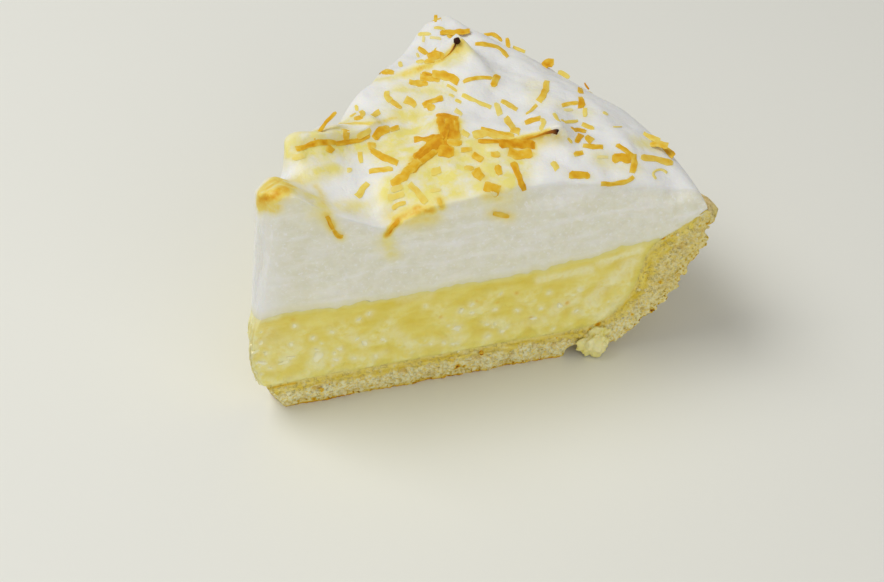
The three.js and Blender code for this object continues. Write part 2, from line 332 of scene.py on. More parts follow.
OUTER_SIDE = curve(
    (BASE_RADIUS, 0),
    (BASE_RADIUS + 10, 2),
    (RIM_RADIUS - 3, RIM_HEIGHT / 2 + 1),
    (RIM_RADIUS, RIM_HEIGHT),
)
HOLLOW_BEND = curve(
    (HOLLOW_RADIUS, BASE_THICKNESS),
    (HOLLOW_RADIUS + 12, BASE_THICKNESS),
    (LEDGE_RADIUS - 1, LEDGE_HEIGHT - 9),
    (LEDGE_RADIUS, LEDGE_HEIGHT),
)
RIM_LEDGE = curve(
    (LEDGE_RADIUS, LEDGE_HEIGHT),
    (LEDGE_RADIUS + 1, LEDGE_HEIGHT + 5),
    (SEAL_RADIUS - 6, SEAL_HEIGHT - 3.8),
    (SEAL_RADIUS, SEAL_HEIGHT),
)
print("the crust's side is", round(RIM_HEIGHT + RIM_CREST), "mm high")

# %% Find a point on a line


def point_along(line, share):
    """The point at a share of a line's length."""
    steps = [(end - start).length for start, end in zip(line, line[1:])]
    left = share * sum(steps)
    for start, end, step in zip(line, line[1:], steps):
        if 0 < step and left <= step:
            return start.lerp(end, left / step)
        left -= step
    return line[-1].copy()


def point_where(line, axis, value):
    """The point where a rising line first reaches a value along one axis."""
    for start, end in zip(line, line[1:]):
        if end[axis] >= value:
            share = (value - start[axis]) / (end[axis] - start[axis])
            return start.lerp(end, min(max(share, 0), 1))
    return line[-1].copy()


# %% Read the crust's section


@functools.lru_cache(maxsize=None)
def crust_lines(reach):
    """The outside and inside point at a reach. Half the reach is base and half is side."""
    if reach < 0.5:
        flat = 2 * reach
        return Vector((flat * BASE_RADIUS, 0)), Vector((flat * HOLLOW_RADIUS, BASE_THICKNESS))
    side = 2 * reach - 1
    return point_along(OUTER_SIDE, side), point_along(HOLLOW_BEND + RIM_LEDGE, side)


print("at the rim the crust is", round(RIM_RADIUS - SEAL_RADIUS, 1), "mm thick")

# %% [markdown]
# The pastry is crumbly. Its cut breaks along grains, its outer wall is ragged where crumbs fell
# off, and the rim keeps faint flutes. All of that is pushed into the mesh, because a bump in
# the material can't change an outline. Coarse lumps come from sine waves, and grains from noise.

# %% Describe the crust's wall and rim
CRUST_FRONT = (7, 4.5)
FLUTE_PITCH = 10.5
FLUTE_DEPTH = 0.9
CREST_GRAIN = [(0.5, 2.6, 3)]
WALL_LUMPS = [(0.35, 7, 0.4)]
WALL_GRAIN = [(2, 3.4, 1), (1.2, 1.5, 2)]


def crust_section(reach, bearing, up):
    """The crust's radius, height and blunt front at a place of its block."""
    outside, inside = crust_lines(reach)
    point = outside.lerp(inside, up)
    outwards = 1 - up
    around = RIM_RADIUS * bearing
    near_rim = smoothstep(reach, 0.8, 1)
    wall = smoothstep(reach, 0.55, 0.7) * outwards
    flute = FLUTE_DEPTH * math.sin(2 * math.pi * around / FLUTE_PITCH) * near_rim * outwards
    crest = (RIM_CREST + added_up(grit, around, 0, CREST_GRAIN)) * math.sin(math.pi * up)
    crest *= smoothstep(reach, 0.965, 1)
    ragged = added_up(grit, around, outside.y + 0.5 * outside.x, WALL_GRAIN)
    front = mix(*CRUST_FRONT, up)
    radius = worn_back(point.x, front, reach) + flute
    radius += wall * (added_up(lumps, around, outside.y, WALL_LUMPS) + ragged)
    return radius, max(point.y + crest + 0.6 * flute, 0), front


# %% Shape the crust
CRUST_CELLS = (180, 96, 14)
BROKEN_LUMPS = [(0.3, 5.3, 1.3)]
BROKEN_GRAIN = [(0.25, 2.4, 4)]
FINE_CRUMB = [(0.45, 1.3, 5), (0.45, 0.75, 6)]
UNDERCUT = 0.8
UNDERCUT_HEIGHT = 5
CRUST_POINT_RADIUS = 10


def crumbly(a, b, up, phase):
    """The broken cut: rough in the crumb, smoother in the dough above it, undercut at the foot."""
    coarse = added_up(lumps, a, b, BROKEN_LUMPS, phase) + added_up(grit, a, b, BROKEN_GRAIN, phase)
    fine = added_up(grit, a, b, FINE_CRUMB, phase)
    doughy = smoothstep(up, 0.6, 0.75)
    relief = (coarse + fine * (1 - 0.6 * doughy)) * mix(0.7, 1, smoothstep(b, 0, 2))
    foot = 1 - smoothstep(b, 0, UNDERCUT_HEIGHT)
    return relief * (0.2 + 0.8 * smoothstep(1 - up, 0, 0.2)) - UNDERCUT * foot


crust_shape = divided_block(*CRUST_CELLS)
divide_shown_faces(crust_shape, lambda co: on_a_cut(co) or co.x > ALMOST_ONE)
bend_to_slice(crust_shape, crust_section, crumbly, nose=0.15)
point_verts = [vert for vert in crust_shape.verts if vert.co.xy.length < CRUST_POINT_RADIUS]
soften(crust_shape, point_verts, 4)
print("the crust has", len(crust_shape.faces), "faces")

# %% [markdown]
# The base broke at the near cut. The break could be a boolean cut, but that leaves a clean
# edge. Instead the corners that lie inside the missing lump are pushed back onto its surface,
# as a thumb pushes into dough, so the crumb carries on into the break.

# %% Break a gap out of the base
GAP_ALONG_CUT = 86
GAP_SIZE = Vector((3.9, 6.5, 4.2))
GAP_PUSH_FROM = Vector((0, 0.5, -0.5))
GAP_GRAIN = [(0.14, 1.4, 8)]


def to_surface(inside, push_from):
    """Where a line from push_from through a point inside the unit ball leaves the ball."""
    way = (inside - push_from).normalized()
    along = push_from.dot(way)
    return push_from + way * (math.sqrt(along * along + 1 - push_from.length_squared) - along)


gap_frame = Matrix((NEAR_CUT, NEAR_NORMAL, Vector((0, 0, 1)))).transposed()
gap_middle = NEAR_CUT * GAP_ALONG_CUT
pushed_back = 0
for vert in crust_shape.verts:
    local = gap_frame.transposed() @ (vert.co - gap_middle)
    in_ball = Vector([local[i] / GAP_SIZE[i] for i in range(3)])
    in_ball *= 1 + added_up(grit, local.x, local.z, GAP_GRAIN)
    if in_ball.length < 1:
        pushed_back += 1
        pushed = to_surface(in_ball, GAP_PUSH_FROM)
        moved = Vector([pushed[i] * GAP_SIZE[i] for i in range(3)])
        vert.co = gap_middle + gap_frame @ moved
        vert.co.z = max(vert.co.z, 0)

print(pushed_back, "corners pushed back for the gap")
crust_skin = BVHTree.FromBMesh(crust_shape)

# %% [markdown]
# ## The filling
#
# Lemon filling is a soft gel, lumpy with soaked coconut. It sags forward at the point, where
# nothing holds it, and bulges out of both cuts. Its section is read from the crust's inside, so
# the two always fit. It is sunk a little into its neighbours, because wet layers stick together.

# %% Describe the filling
FILLING_HEIGHT = 32
FILLING_CLIMB = 3.8
STUCK = 0.25
FILLING_FRONT = 1.6
SAG = 6
SAGS_MOST_AT = 0.45
TOP_LUMPS = [(0.5, 17, 0.8), (0.3, 6, 2)]
TOP_GRAIN = [(0.8, 3.1, 10), (0.5, 1.7, 13)]


def filling_top(radius, bearing):
    """How high the filling stands. It climbs a little where the crust's side begins."""
    climb = FILLING_CLIMB * smoothstep(radius, 70, LEDGE_RADIUS + 2)
    x, y = radius * math.cos(bearing), radius * math.sin(bearing)
    waves = added_up(lumps, x, y, TOP_LUMPS) + added_up(grit, x, y, TOP_GRAIN)
    return FILLING_HEIGHT + climb + waves


@functools.lru_cache(maxsize=None)
def filling_wall(up):
    """How far out the filling reaches at a share of its height."""
    level = mix(BASE_THICKNESS, FILLING_HEIGHT + FILLING_CLIMB, up)
    return point_where(HOLLOW_BEND + RIM_LEDGE, 1, level).x + STUCK


def filling_section(reach, bearing, up):
    """The filling's radius, height and blunt front. It sags forward a little below the middle."""
    front = FILLING_FRONT + SAG * (up - SAGS_MOST_AT) ** 2
    radius = worn_back(reach * filling_wall(up), front, reach)
    floor = BASE_THICKNESS - STUCK
    return radius, mix(floor, filling_top(radius, bearing), up), front


print("the filling reaches", round(filling_wall(1)), "mm out")

# %% Shape the filling
FILLING_CELLS = (120, 80, 26)
GEL_LUMPS = [(0.5, 6.1, 0.7)]
GEL_GRAIN = [(0.8, 3.3, 11), (0.4, 1.7, 12)]
GEL_BULGE = 0.25
GEL_POINT_RADIUS = 6


def lumpy(a, b, up, phase):
    """The gel's cut: it bulges, with grains that are coarser near the bottom."""
    smooth = GEL_BULGE + added_up(lumps, a, b, GEL_LUMPS, phase)
    fine = added_up(grit, a, b, GEL_GRAIN, phase)
    inside = smoothstep(up, 0, 0.05) * (1 - smoothstep(up, 0.85, 1))
    return (smooth + fine * mix(1, 0.3, up)) * inside * smoothstep(filling_wall(up) - a, 0, 3)


filling_shape = divided_block(*FILLING_CELLS)
divide_shown_faces(filling_shape, lambda co: on_a_cut(co) or in_front(co))
bend_to_slice(filling_shape, filling_section, lumpy, nose=0.3)
point_verts = [vert for vert in filling_shape.verts if vert.co.xy.length < GEL_POINT_RADIUS]
soften(filling_shape, point_verts, 2)
print("the filling has", len(filling_shape.faces), "faces")

# %% [markdown]
# Beside the gap in the base a lump of filling hangs out of the cut. It starts as an icosphere,
# which has even faces all over, and noise makes it uneven. It is joined to the filling's mesh,
# since it is the same spoonful.

# %% Hang the lump
LUMP_ALONG_CUT = 89.7
LUMP_HEIGHT = 4.7
LUMP_OUT = 0.7
LUMP_SIZE = (3.9, 2.3, 4)
LUMP_SPREAD = 0.5
LUMP_UNEVEN = [(0.5, 1.3), (0.35, 2.9), (0.12, 7)]
LUMP_CLEARANCE = 0.3

up_layer = filling_shape.verts.layers.float["up"]
cut_layer = filling_shape.verts.layers.float["cut"]
depth_layer = filling_shape.verts.layers.float["depth"]
ball = bmesh.ops.create_icosphere(filling_shape, subdivisions=5, radius=1)["verts"]
lump_middle = NEAR_CUT * LUMP_ALONG_CUT + NEAR_NORMAL * LUMP_OUT + Vector((0, 0, LUMP_HEIGHT))
for vert in ball:
    uneven = 1 + sum(amount * noise.noise(fineness * vert.co) for amount, fineness in LUMP_UNEVEN)
    local = Vector([vert.co[i] * LUMP_SIZE[i] * uneven for i in range(3)])
    local.x += LUMP_SPREAD * max(0, local.z)
    vert.co = lump_middle + gap_frame @ local
    vert.co.z = max(vert.co.z, LUMP_CLEARANCE)
    vert[up_layer] = 0.3
    vert[cut_layer] = 1.0
    vert[depth_layer] = 0.6
print("the lump has", len(ball), "corners")

# %% [markdown]
# ## The meringue
#
# Meringue is spooned on and swept into folds. Each fold rises along its crest, falls off gently
# on one side and steeply on the other, and its crest leans over the steep side like a breaking
# wave. A height alone can't lean, so the crest is also shifted sideways.

# %% Describe a fold
END_FALL = 0.3


class Fold:
    """One fold, from one place in plan to another, leaning to the left or right of that way."""

    def __init__(self, start, end, low, high, gentle, steep, leans_left, lean):
        self.start = Vector(start)
        way = Vector(end) - self.start
        self.length = way.length
        self.way = way.normalized()
        self.low = low
        self.high = high
        self.gentle = gentle
        self.steep = steep
        self.leans_left = leans_left
        self.lean = lean

    def height_at(self, x, y):
        """How much the fold rises at a place in plan."""
        away = Vector((x, y)) - self.start
        place = self.way.dot(away) / self.length
        share = min(max(place, 0), 1)
        beyond = (place - share) * self.length
        side = self.way.cross(away)
        width = self.steep if (side > 0) == self.leans_left else self.gentle
        fall = math.hypot(side / width, beyond / (END_FALL * self.gentle))
        return (self.low + (self.high - self.low) * share**1.5) * math.exp(-(fall**1.6))

    def lean_at(self, height):
        """How far, and which way, a place of that height is shifted."""
        leftwards = Vector((-self.way.y, self.way.x))
        sign = 1 if self.leans_left else -1
        return leftwards * sign * self.lean * (height / self.high) ** 2


# %% [markdown]
# Broad swells stand for the heaps near the point and the valleys beside them, and narrow peaks
# for the two places where the spoon was pulled away. One fold ends in a flap, whose ragged
# corner hangs out a little over the far cut.

# %% Place the folds, the heaps and the peaks
# Each row: start, end, rise at the start and at the end, width of the gentle and of the steep
# side, whether it leans to the left, and how far
FOLDS = [
    Fold((58, 27), (88, 22), 1, 5.8, 12, 3.6, True, 2.4),
    Fold((60, -9), (82, -21), 1, 3.6, 13, 2.6, False, 2.2),
    Fold((35, -13), (66, 1.5), 1.4, 2, 9, 4, True, 1.2),
    Fold((50, 12), (24.5, 12.5), 3.4, 3.3, 8, 3.2, True, 1.6),
    Fold((104, 17), (97, 39), 0.5, 2, 8, 4, False, 1),
    Fold((104, -9), (94, -32), 0.6, 1.8, 9, 5, True, 1),
]
# Each row: place in plan, rise at its middle, and how far it spreads
SWELLS = [
    ((11, -2), 9.5, 9),
    ((29, 11), 4.6, 9.5),
    ((33, -16), -6, 7),
    ((68, -23), 1.2, 12),
    ((93, -45), -3, 14),
    ((76, 37), -2, 10),
    ((100, 37), 2.2, 11),
    ((19.5, 9.5), -2.8, 3.2),
    ((14.5, 5), 2.6, 4.2),
    ((32, 16), -2.2, 3.2),
    ((47.5, 24.5), -4, 6),
    ((106, -23), -0.8, 8),
]
PEAKS = [
    ((87.4, 21.6), 0.5, 2.2),
    ((81.5, -20.5), 1.4, 2.2),
]
FLAP_TIP = (27.5, 13)
FLAP_OUT = 2.6
print(len(FOLDS), "folds,", len(SWELLS), "swells and", len(PEAKS), "peaks")

# %% Find the meringue's floor and edge
MERINGUE_RADIUS = 114.6
OVERHANG = 1.9
OVERHANG_FROM = 2
OVERHANG_TO = 9


def meringue_floor(radius, bearing):
    """What the meringue lies on: the filling, then the rim's sloping inside and its crest."""
    floor = filling_top(radius, bearing)
    if radius > LEDGE_RADIUS:
        floor = max(floor, point_where(RIM_LEDGE, 0, radius).y)
    return floor + RIM_CREST * 0.5 * smoothstep(radius, SEAL_RADIUS, RIM_RADIUS) - STUCK


def meringue_edge(bearing):
    """The meringue's outer radius. Near the near cut it slumped out over the rim."""
    nearer = -math.degrees(bearing)
    return MERINGUE_RADIUS + OVERHANG * smoothstep(nearer, OVERHANG_FROM, OVERHANG_TO)


print("the meringue's edge lies", MERINGUE_RADIUS, "to", MERINGUE_RADIUS + OVERHANG, "mm out")

# %% Find the meringue's top
CROWN_HEIGHT = 58.5
SHOULDER_HEIGHT = 43
SHOULDER_WIDTH = 8
ROUNDED = 1.8
ROUNDED_WIDTH = 6
ROUNDED_REACH = (50, 80)
LEAN_FROM_CUT = 5
SKIN_LUMPS = [(0.6, 13, 1.9)]
SKIN_GRAIN = [(0.8, 7, 21), (0.3, 3, 22)]
FLAP_GRAIN = [(0.9, 2.4, 31)]
FLAP_RAGGED = [(0.8, 2, 33)]
FLAP_WIDTH = 8
FLAP_CORNER = 4


def meringue_top(x, y):
    """The height of the meringue, and how far its folds lean there."""
    radius = math.hypot(x, y)
    edge = meringue_edge(math.atan2(y, x))
    dome = math.sqrt(max(0, 1 - (radius / edge) ** 8))
    shoulder = smoothstep(edge - radius, 0, SHOULDER_WIDTH)
    relief = added_up(lumps, x, y, SKIN_LUMPS) + added_up(grit, x, y, SKIN_GRAIN)
    lean = Vector((0, 0))
    for (at_x, at_y), rise, spread in SWELLS:
        relief += rise * math.exp(-((x - at_x) ** 2 + (y - at_y) ** 2) / spread**2)
    for (at_x, at_y), rise, spread in PEAKS:
        relief += rise * math.exp(-math.hypot(x - at_x, y - at_y) / spread)
    for fold in FOLDS:
        height = fold.height_at(x, y)
        relief += height
        lean += fold.lean_at(height)
    from_tip = math.hypot(x - FLAP_TIP[0], y - FLAP_TIP[1])
    relief += math.exp(-((from_tip / FLAP_WIDTH) ** 2)) * added_up(grit, x, y, FLAP_GRAIN)
    flap = FLAP_OUT * math.exp(-((from_tip / FLAP_CORNER) ** 2))
    flap *= 1 + added_up(grit, x, y, FLAP_RAGGED)
    from_cut = radius * math.sin(HALF_ANGLE - abs(math.atan2(y, x)))
    lean = lean * shoulder * smoothstep(from_cut, 0, LEAN_FROM_CUT) + FAR_NORMAL.xy * flap
    beside_cut = max(0, 1 - from_cut / ROUNDED_WIDTH) ** 2
    relief -= ROUNDED * smoothstep(radius, *ROUNDED_REACH) * beside_cut
    return mix(SHOULDER_HEIGHT, CROWN_HEIGHT, dome) + relief * shoulder, lean


print("over its middle the meringue is", round(meringue_top(-PIE_CENTRE_X, 0)[0]), "mm high")

# %% Shape the meringue
MERINGUE_CELLS = (168, 144, 24)
MERINGUE_FRONT = (3.4, 8.6)
RIM_BULGE = 0.9
STREAK_LUMPS = [(0.4, 15, 2.6)]
STREAK_GRAIN = [(0.35, 13, 23)]
STREAK_FLATNESS = 4
TORN_GRAIN = [(0.36, 1.8, 24), (0.35, 4, 25)]


def meringue_section(reach, bearing, up):
    """The meringue's radius, height and blunt front, with its cells closer near the rim."""
    front = mix(*MERINGUE_FRONT, up)
    even = 0.3 * reach + 0.7 * math.sin(reach * math.pi / 2)
    radius = worn_back(even * meringue_edge(bearing), front, reach)
    top, _ = meringue_top(radius * math.cos(bearing), radius * math.sin(bearing))
    bulge = RIM_BULGE * smoothstep(reach, 0.9, 1) * math.sin(math.pi * up)
    return radius + bulge, mix(meringue_floor(radius, bearing), top, up), front


def dragged(a, b, up, phase):
    """A knife leaves long faint streaks on the meringue's cut, and small torn pits."""
    streaks = added_up(lumps, a, b, STREAK_LUMPS, phase)
    streaks += added_up(grit, a, STREAK_FLATNESS * b, STREAK_GRAIN, phase)
    torn = added_up(grit, a, b, TORN_GRAIN, phase)
    rounded = ROUNDED * smoothstep(a, *ROUNDED_REACH) * smoothstep(up, 0.65, 1) ** 2
    return (streaks + torn) * smoothstep(up, 0, 0.15) - rounded


meringue_shape = divided_block(*MERINGUE_CELLS)
divide_shown_faces(meringue_shape, lambda co: co.y < -ALMOST_ONE or in_front(co))
bend_to_slice(meringue_shape, meringue_section, dragged, nose=0.3)
print("the meringue has", len(meringue_shape.faces), "faces")

# %% Lean the folds over
up_layer = meringue_shape.verts.layers.float["up"]
for vert in meringue_shape.verts:
    _, lean = meringue_top(vert.co.x, vert.co.y)
    vert.co.xy += lean * vert[up_layer] ** 3
print("it now reaches", round(max(vert.co.z for vert in meringue_shape.verts)), "mm up")

# %% [markdown]
# A knife pulls soft meringue down over the edge of the cut, so that edge is round, and so are
# the upright edges beside the crushed point. Smoothing the corners near them, a few times over,
# rounds them without a bevel's clean line.

# %% Round the edges of the cut
EDGE_WIDTH = 2.6
EDGE_ROUNDS = 9
POINT_RADIUS = 15
POINT_ROUNDS = 12


def beside_point(vert):
    """Whether a corner belongs to the upright part of the crushed point."""
    return vert.co.xy.length < POINT_RADIUS and vert.co.z > FILLING_HEIGHT + 1


def near_an_edge(vert):
    """Whether a corner is close to the top edge of a cut, or to a cut beside the point."""
    from_cut = min(-vert.co.dot(NEAR_NORMAL), -vert.co.dot(FAR_NORMAL))
    top, _ = meringue_top(vert.co.x, vert.co.y)
    on_top = vert.co.z > top - EDGE_WIDTH
    return from_cut < EDGE_WIDTH and (on_top or beside_point(vert))


edge_verts = [vert for vert in meringue_shape.verts if near_an_edge(vert)]
soften(meringue_shape, edge_verts, EDGE_ROUNDS)
point_verts = [vert for vert in meringue_shape.verts if beside_point(vert)]
soften(meringue_shape, point_verts, POINT_ROUNDS)
print(len(edge_verts), "corners rounded at the edges and", len(point_verts), "at the point")
meringue_skin = BVHTree.FromBMesh(meringue_shape)
filling_skin = BVHTree.FromBMesh(filling_shape)

# %% [markdown]
# ## Toasted coconut
#
# The shreds are flat, dry flakes with torn ends, thin enough to glow, from pale gold to
# orange-brown. A particle system could strew them, but particles aren't kept in an export, so
# they are real meshes. They are placed as they are seen: each row gives a flake's width in
# pixels of the picture, how toasted it is from 0 to 1, and the pixels along its middle. Lines
# of sight through those pixels find its place on the meringue.

# %% List the flakes at the back
# Each row: width in pixels, toast, then x and y of each pixel along the flake
SEEN_AT_BACK = [
    (4, 0.5, 431, 21, 436, 19, 441, 18),
    (3, 0.32, 434, 28, 439, 27.5, 445, 29.5),
    (4, 0.48, 447, 35, 454, 38), (4, 0.25, 418, 34, 431, 34), (3, 0.2, 424, 36, 423, 42),
    (3, 0.18, 430, 37, 441, 39), (4.5, 0.52, 418, 48, 424, 52, 431, 58),
    (2.5, 0.4, 436, 46, 434, 53), (7, 0.52, 427, 53, 435, 54, 444, 56),
    (7, 0.5, 428, 58, 440, 55), (3, 0.26, 417, 53, 419, 58), (4, 0.3, 416, 62, 424, 61),
    (4.5, 0.46, 424, 62, 434, 60), (4.5, 0.3, 400, 61, 401, 65, 402, 69),
    (7, 0.46, 375, 71, 384, 71, 394, 73), (6, 0.46, 409, 82, 418, 84, 428, 84),
    (7, 0.5, 420, 77, 432, 78, 440, 80), (9, 0.47, 432, 74, 442, 75, 452, 78, 459, 81),
    (3.5, 0.62, 422, 73, 432, 75), (4, 0.46, 463, 82, 471, 78.5, 480, 77.5, 493, 78),
    (7, 0.48, 498, 73, 495, 80, 493, 87), (3, 0.36, 447, 85, 457, 91),
    (2.5, 0.26, 449, 94, 454, 97), (3, 0.3, 455, 100, 461, 103),
    (4.5, 0.32, 462, 95, 476, 101, 491, 107.5), (6.5, 0.36, 387, 91, 387, 97, 391, 101),
    (4.5, 0.43, 391, 101, 396, 104, 401, 109), (9, 0.4, 405, 99, 411, 102, 416, 106),
    (6, 0.52, 423, 106, 432, 101, 443, 98), (8, 0.46, 427, 106, 435, 108),
    (4.5, 0.46, 475, 44, 487, 44, 497, 47), (4.5, 0.46, 495, 46, 502, 50, 508, 57),
    (6.5, 0.43, 547, 81, 546, 90, 539, 102),
    (6, 0.52, 580, 85, 581, 95), (6.5, 0.56, 581, 97, 582, 108), (5, 0.3, 585, 108, 585, 117),
    (3, 0.32, 588, 91, 593, 92),
    (4, 0.44, 562, 106, 570, 103, 578, 103), (3, 0.2, 564, 110, 573, 110),
]
print(len(SEEN_AT_BACK), "flakes at the back")

# %% List the flakes in the middle
SEEN_IN_MIDDLE = [
    (3.5, 0.42, 537, 105, 532, 110, 526, 114), (6, 0.26, 495, 103, 498, 109, 501, 115),
    (5, 0.42, 501, 101, 508, 104, 517, 110), (7.5, 0.42, 505, 118, 509, 124, 514, 128),
    (8, 0.4, 511, 128, 520, 131), (6.5, 0.52, 525, 123, 533, 120, 541, 118),
    (5, 0.3, 541, 119, 545, 122, 540, 130), (8, 0.36, 473, 136, 482, 133, 495, 135, 514, 137),
    (3, 0.5, 481, 128, 490, 130, 503, 134, 514, 136), (4.5, 0.58, 478, 141, 490, 141, 505, 141),
    (9, 0.64, 499, 144, 515, 143.5, 535, 145), (9, 0.5, 508, 153, 519, 156, 532, 153),
    (7, 0.62, 513, 162, 517, 172, 522, 184, 524, 191), (4, 0.32, 554, 113, 557, 119, 559, 125),
    (3.5, 0.36, 560, 123, 568, 122, 578, 121), (5, 0.56, 570, 131, 579, 129.5, 586, 132),
    (6.5, 0.56, 582, 133, 578, 139, 577, 143), (3, 0.36, 568, 138, 572, 143),
    (7, 0.46, 586, 136, 592, 142), (4.5, 0.5, 583, 145, 592, 147, 603, 147),
    (4.5, 0.4, 582, 124, 594, 129), (5.5, 0.48, 574, 155, 583, 152),
    (6, 0.32, 552, 162, 558, 169), (8, 0.52, 569, 174.5, 590, 176),
    (3.5, 0.25, 603, 112, 608, 115), (3, 0.3, 613, 127, 622, 127),
    (5, 0.46, 616, 145, 622, 148, 635, 157), (9.5, 0.55, 612, 158, 622, 158, 631, 159),
    (6.5, 0.47, 634, 154, 634, 163, 632, 173), (3, 0.18, 597, 157, 608, 157),
    (5, 0.45, 601, 184, 612, 184, 626, 182, 634, 177), (6.5, 0.43, 641, 157, 655, 159, 673, 163),
    (2.5, 0.26, 667, 173, 662, 169, 656, 170, 652, 174, 656, 179),
]
print(len(SEEN_IN_MIDDLE), "flakes in the middle")

# %% List the flakes on the flap
SEEN_ON_FLAP = [
    (6, 0.56, 296, 149.5, 310, 145, 322, 142, 336, 143),
    (5, 0.56, 336, 143.5, 350, 142, 360, 140, 370, 136), (7, 0.5, 327, 146, 333, 152),
    (6, 0.47, 346, 126, 346, 140), (6.5, 0.36, 357, 137, 371, 130),
    (8.5, 0.52, 373, 138, 380, 132, 390, 128), (5, 0.47, 390, 130, 399, 127),
    (7.5, 0.42, 368, 147, 376, 145), (6.5, 0.5, 371, 149, 378, 155, 388, 159, 398, 163),
    (5, 0.33, 360, 152, 361, 163), (5, 0.42, 369, 172, 380, 170, 393, 169),
    (5, 0.24, 347, 170, 352, 170), (6.5, 0.34, 357, 197, 363, 189, 368, 183),
    (4, 0.4, 350, 117, 356, 113), (7, 0.48, 354, 119, 363, 117), (6, 0.38, 361, 109, 364, 118),
    (3.5, 0.25, 356, 105, 357, 111), (5.5, 0.4, 371, 117, 380, 112),
    (6, 0.24, 292, 158, 305, 155),
]
print(len(SEEN_ON_FLAP), "flakes on the flap")

# %% List the flakes of the dark streak and those on the cut
SEEN_IN_STREAK = [
    (8, 0.6, 440, 116, 442, 128, 445, 139), (8, 0.66, 449, 118, 450, 128, 451, 141),
    (6, 0.58, 456, 119, 457, 130, 457, 140), (6, 0.7, 447, 124, 445, 139),
    (5, 0.6, 436, 115.5, 446, 115, 458, 119), (6.5, 0.56, 414, 140, 424, 139, 441, 138),
    (8, 0.6, 448, 141, 434, 151, 420, 161, 410, 167), (8, 0.64, 442, 136, 430, 145, 414, 158),
    (8, 0.7, 443, 140, 431, 149, 417, 162), (6, 0.54, 436, 152, 424, 160, 412, 172),
    (10, 0.5, 419, 161, 405, 174, 392, 186), (11, 0.58, 438, 152, 454, 152),
    (6, 0.46, 447, 142, 462, 143), (5, 0.3, 462, 131, 469, 136), (5, 0.45, 461, 150, 472, 149),
    (7, 0.52, 473, 154, 482, 161), (6, 0.42, 491, 155, 500, 154), (9, 0.52, 474, 170, 483, 178),
    (5, 0.4, 464, 168, 474, 168), (7.5, 0.5, 497, 165, 500, 175),
    (9.5, 0.5, 484, 186, 492, 188, 500, 190), (7.5, 0.33, 431, 172, 441, 170),
    (7, 0.34, 409, 184, 416, 190, 426, 203), (6.5, 0.3, 388, 197, 396, 197, 404, 193),
    (6, 0.26, 391, 190, 403, 187), (5, 0.36, 392, 209, 398, 204, 406, 203),
    (4, 0.25, 430, 191, 441, 190), (5, 0.24, 455, 110, 462, 115),
]
SEEN_ON_CUT = [
    (4.5, 0.62, 327, 216, 330, 223, 334, 230), (5, 0.48, 333, 229, 337, 236, 343, 237),
    (4.5, 0.62, 387, 235, 392, 228, 399, 220), (4.5, 0.46, 439, 198, 442, 208),
    (5, 0.44, 493, 213, 500, 214.5, 509, 217),
]
SEEN_FLAKES = SEEN_AT_BACK + SEEN_IN_MIDDLE + SEEN_ON_FLAP + SEEN_IN_STREAK + SEEN_ON_CUT
print(len(SEEN_FLAKES), "flakes lie on the meringue")

# %% Find where a pixel meets a layer
SEARCHED = range(300, 520, 2)


def seen_on(skin, pixel):
    """The place and the facing of a layer at a pixel, or where the line of sight passes nearest."""
    sight = line_of_sight(*pixel)
    place, facing, _, _ = skin.ray_cast(EYE, sight)
    if place is None:
        beside = [skin.find_nearest(EYE + sight * distance) for distance in SEARCHED]
        place, facing, _, _ = min(beside, key=lambda found: found[3])
    return place, facing


def pixels_of(numbers):
    """A row's numbers, paired up as pixels."""
    return [Vector(pair) for pair in zip(numbers[0::2], numbers[1::2])]


def length_of(line):
    """The length of a broken line."""
    return sum((end - start).length for start, end in zip(line, line[1:]))


def spread_along(line, count):
    """Evenly spaced points along a broken line, with its corners eased."""
    points = [point_along(line, i / count) for i in range(count + 1)]
    for i in range(1, count):
        points[i] = (points[i - 1] + 2 * points[i] + points[i + 1]) / 4
    return points


# %% [markdown]
# A flake starts as a flat cube, divided along its length and its width. Every corner is placed
# through the picture, on the plane of the meringue at the flake's middle, and then draped: a
# line straight down onto the meringue, or onto a flake laid before it, finds what it rests on.
# Its two edges wander on their own and its ends are torn on a slant. How toasted it is, is kept
# as a value on its corners, which the material reads.

# %% Divide a cube of its own in a shared mesh


def fresh_cube(shape, size, divisions):
    """Adds a cube, divides its edges along each axis, and returns only the cube's corners."""
    verts_before = len(shape.verts)
    edges_before = len(shape.edges)
    bmesh.ops.create_cube(shape, size=size)
    for axis, cells in enumerate(divisions):
        shape.edges.ensure_lookup_table()
        along = [edge for edge in shape.edges[edges_before:] if runs_along(edge, axis)]
        if cells > 1:
            bmesh.ops.subdivide_edges(shape, edges=along, cuts=cells - 1, use_grid_fill=True)
    shape.verts.ensure_lookup_table()
    return shape.verts[verts_before:]


# %% Tear a flake's edges and find what it rests on
FLAKE_REACH = 2.6
PIXELS_PER_MM = 4
TORN_ENDS = (0.35, 1.1)
UPWARDS = Vector((0, 0, 1))
chance = random.Random(11)


def rest_on(skins, spot, facing):
    """The spot moved along its facing until it rests on the highest of several skins."""
    above = spot + facing * FLAKE_REACH
    found = [skin.ray_cast(above, -facing, 2 * FLAKE_REACH)[3] for skin in skins]
    found = [distance for distance in found if distance is not None]
    return above - facing * min(found) if found else spot


def torn_edge(stations):
    """The share of the half width at each station of one edge, torn back at both ends."""
    seed = chance.uniform(0, 99)
    edge = [0.95 + 0.45 * noise.noise(Vector((0.4 * i, seed, 0))) for i in range(stations + 1)]
    edge[0] *= chance.uniform(*TORN_ENDS)
    edge[-1] *= chance.uniform(*TORN_ENDS)
    return edge


def in_plane(pixel, place, facing):
    """Where the line of sight through a pixel meets a plane."""
    return geometry.intersect_line_plane(EYE, EYE + line_of_sight(*pixel), place, facing)


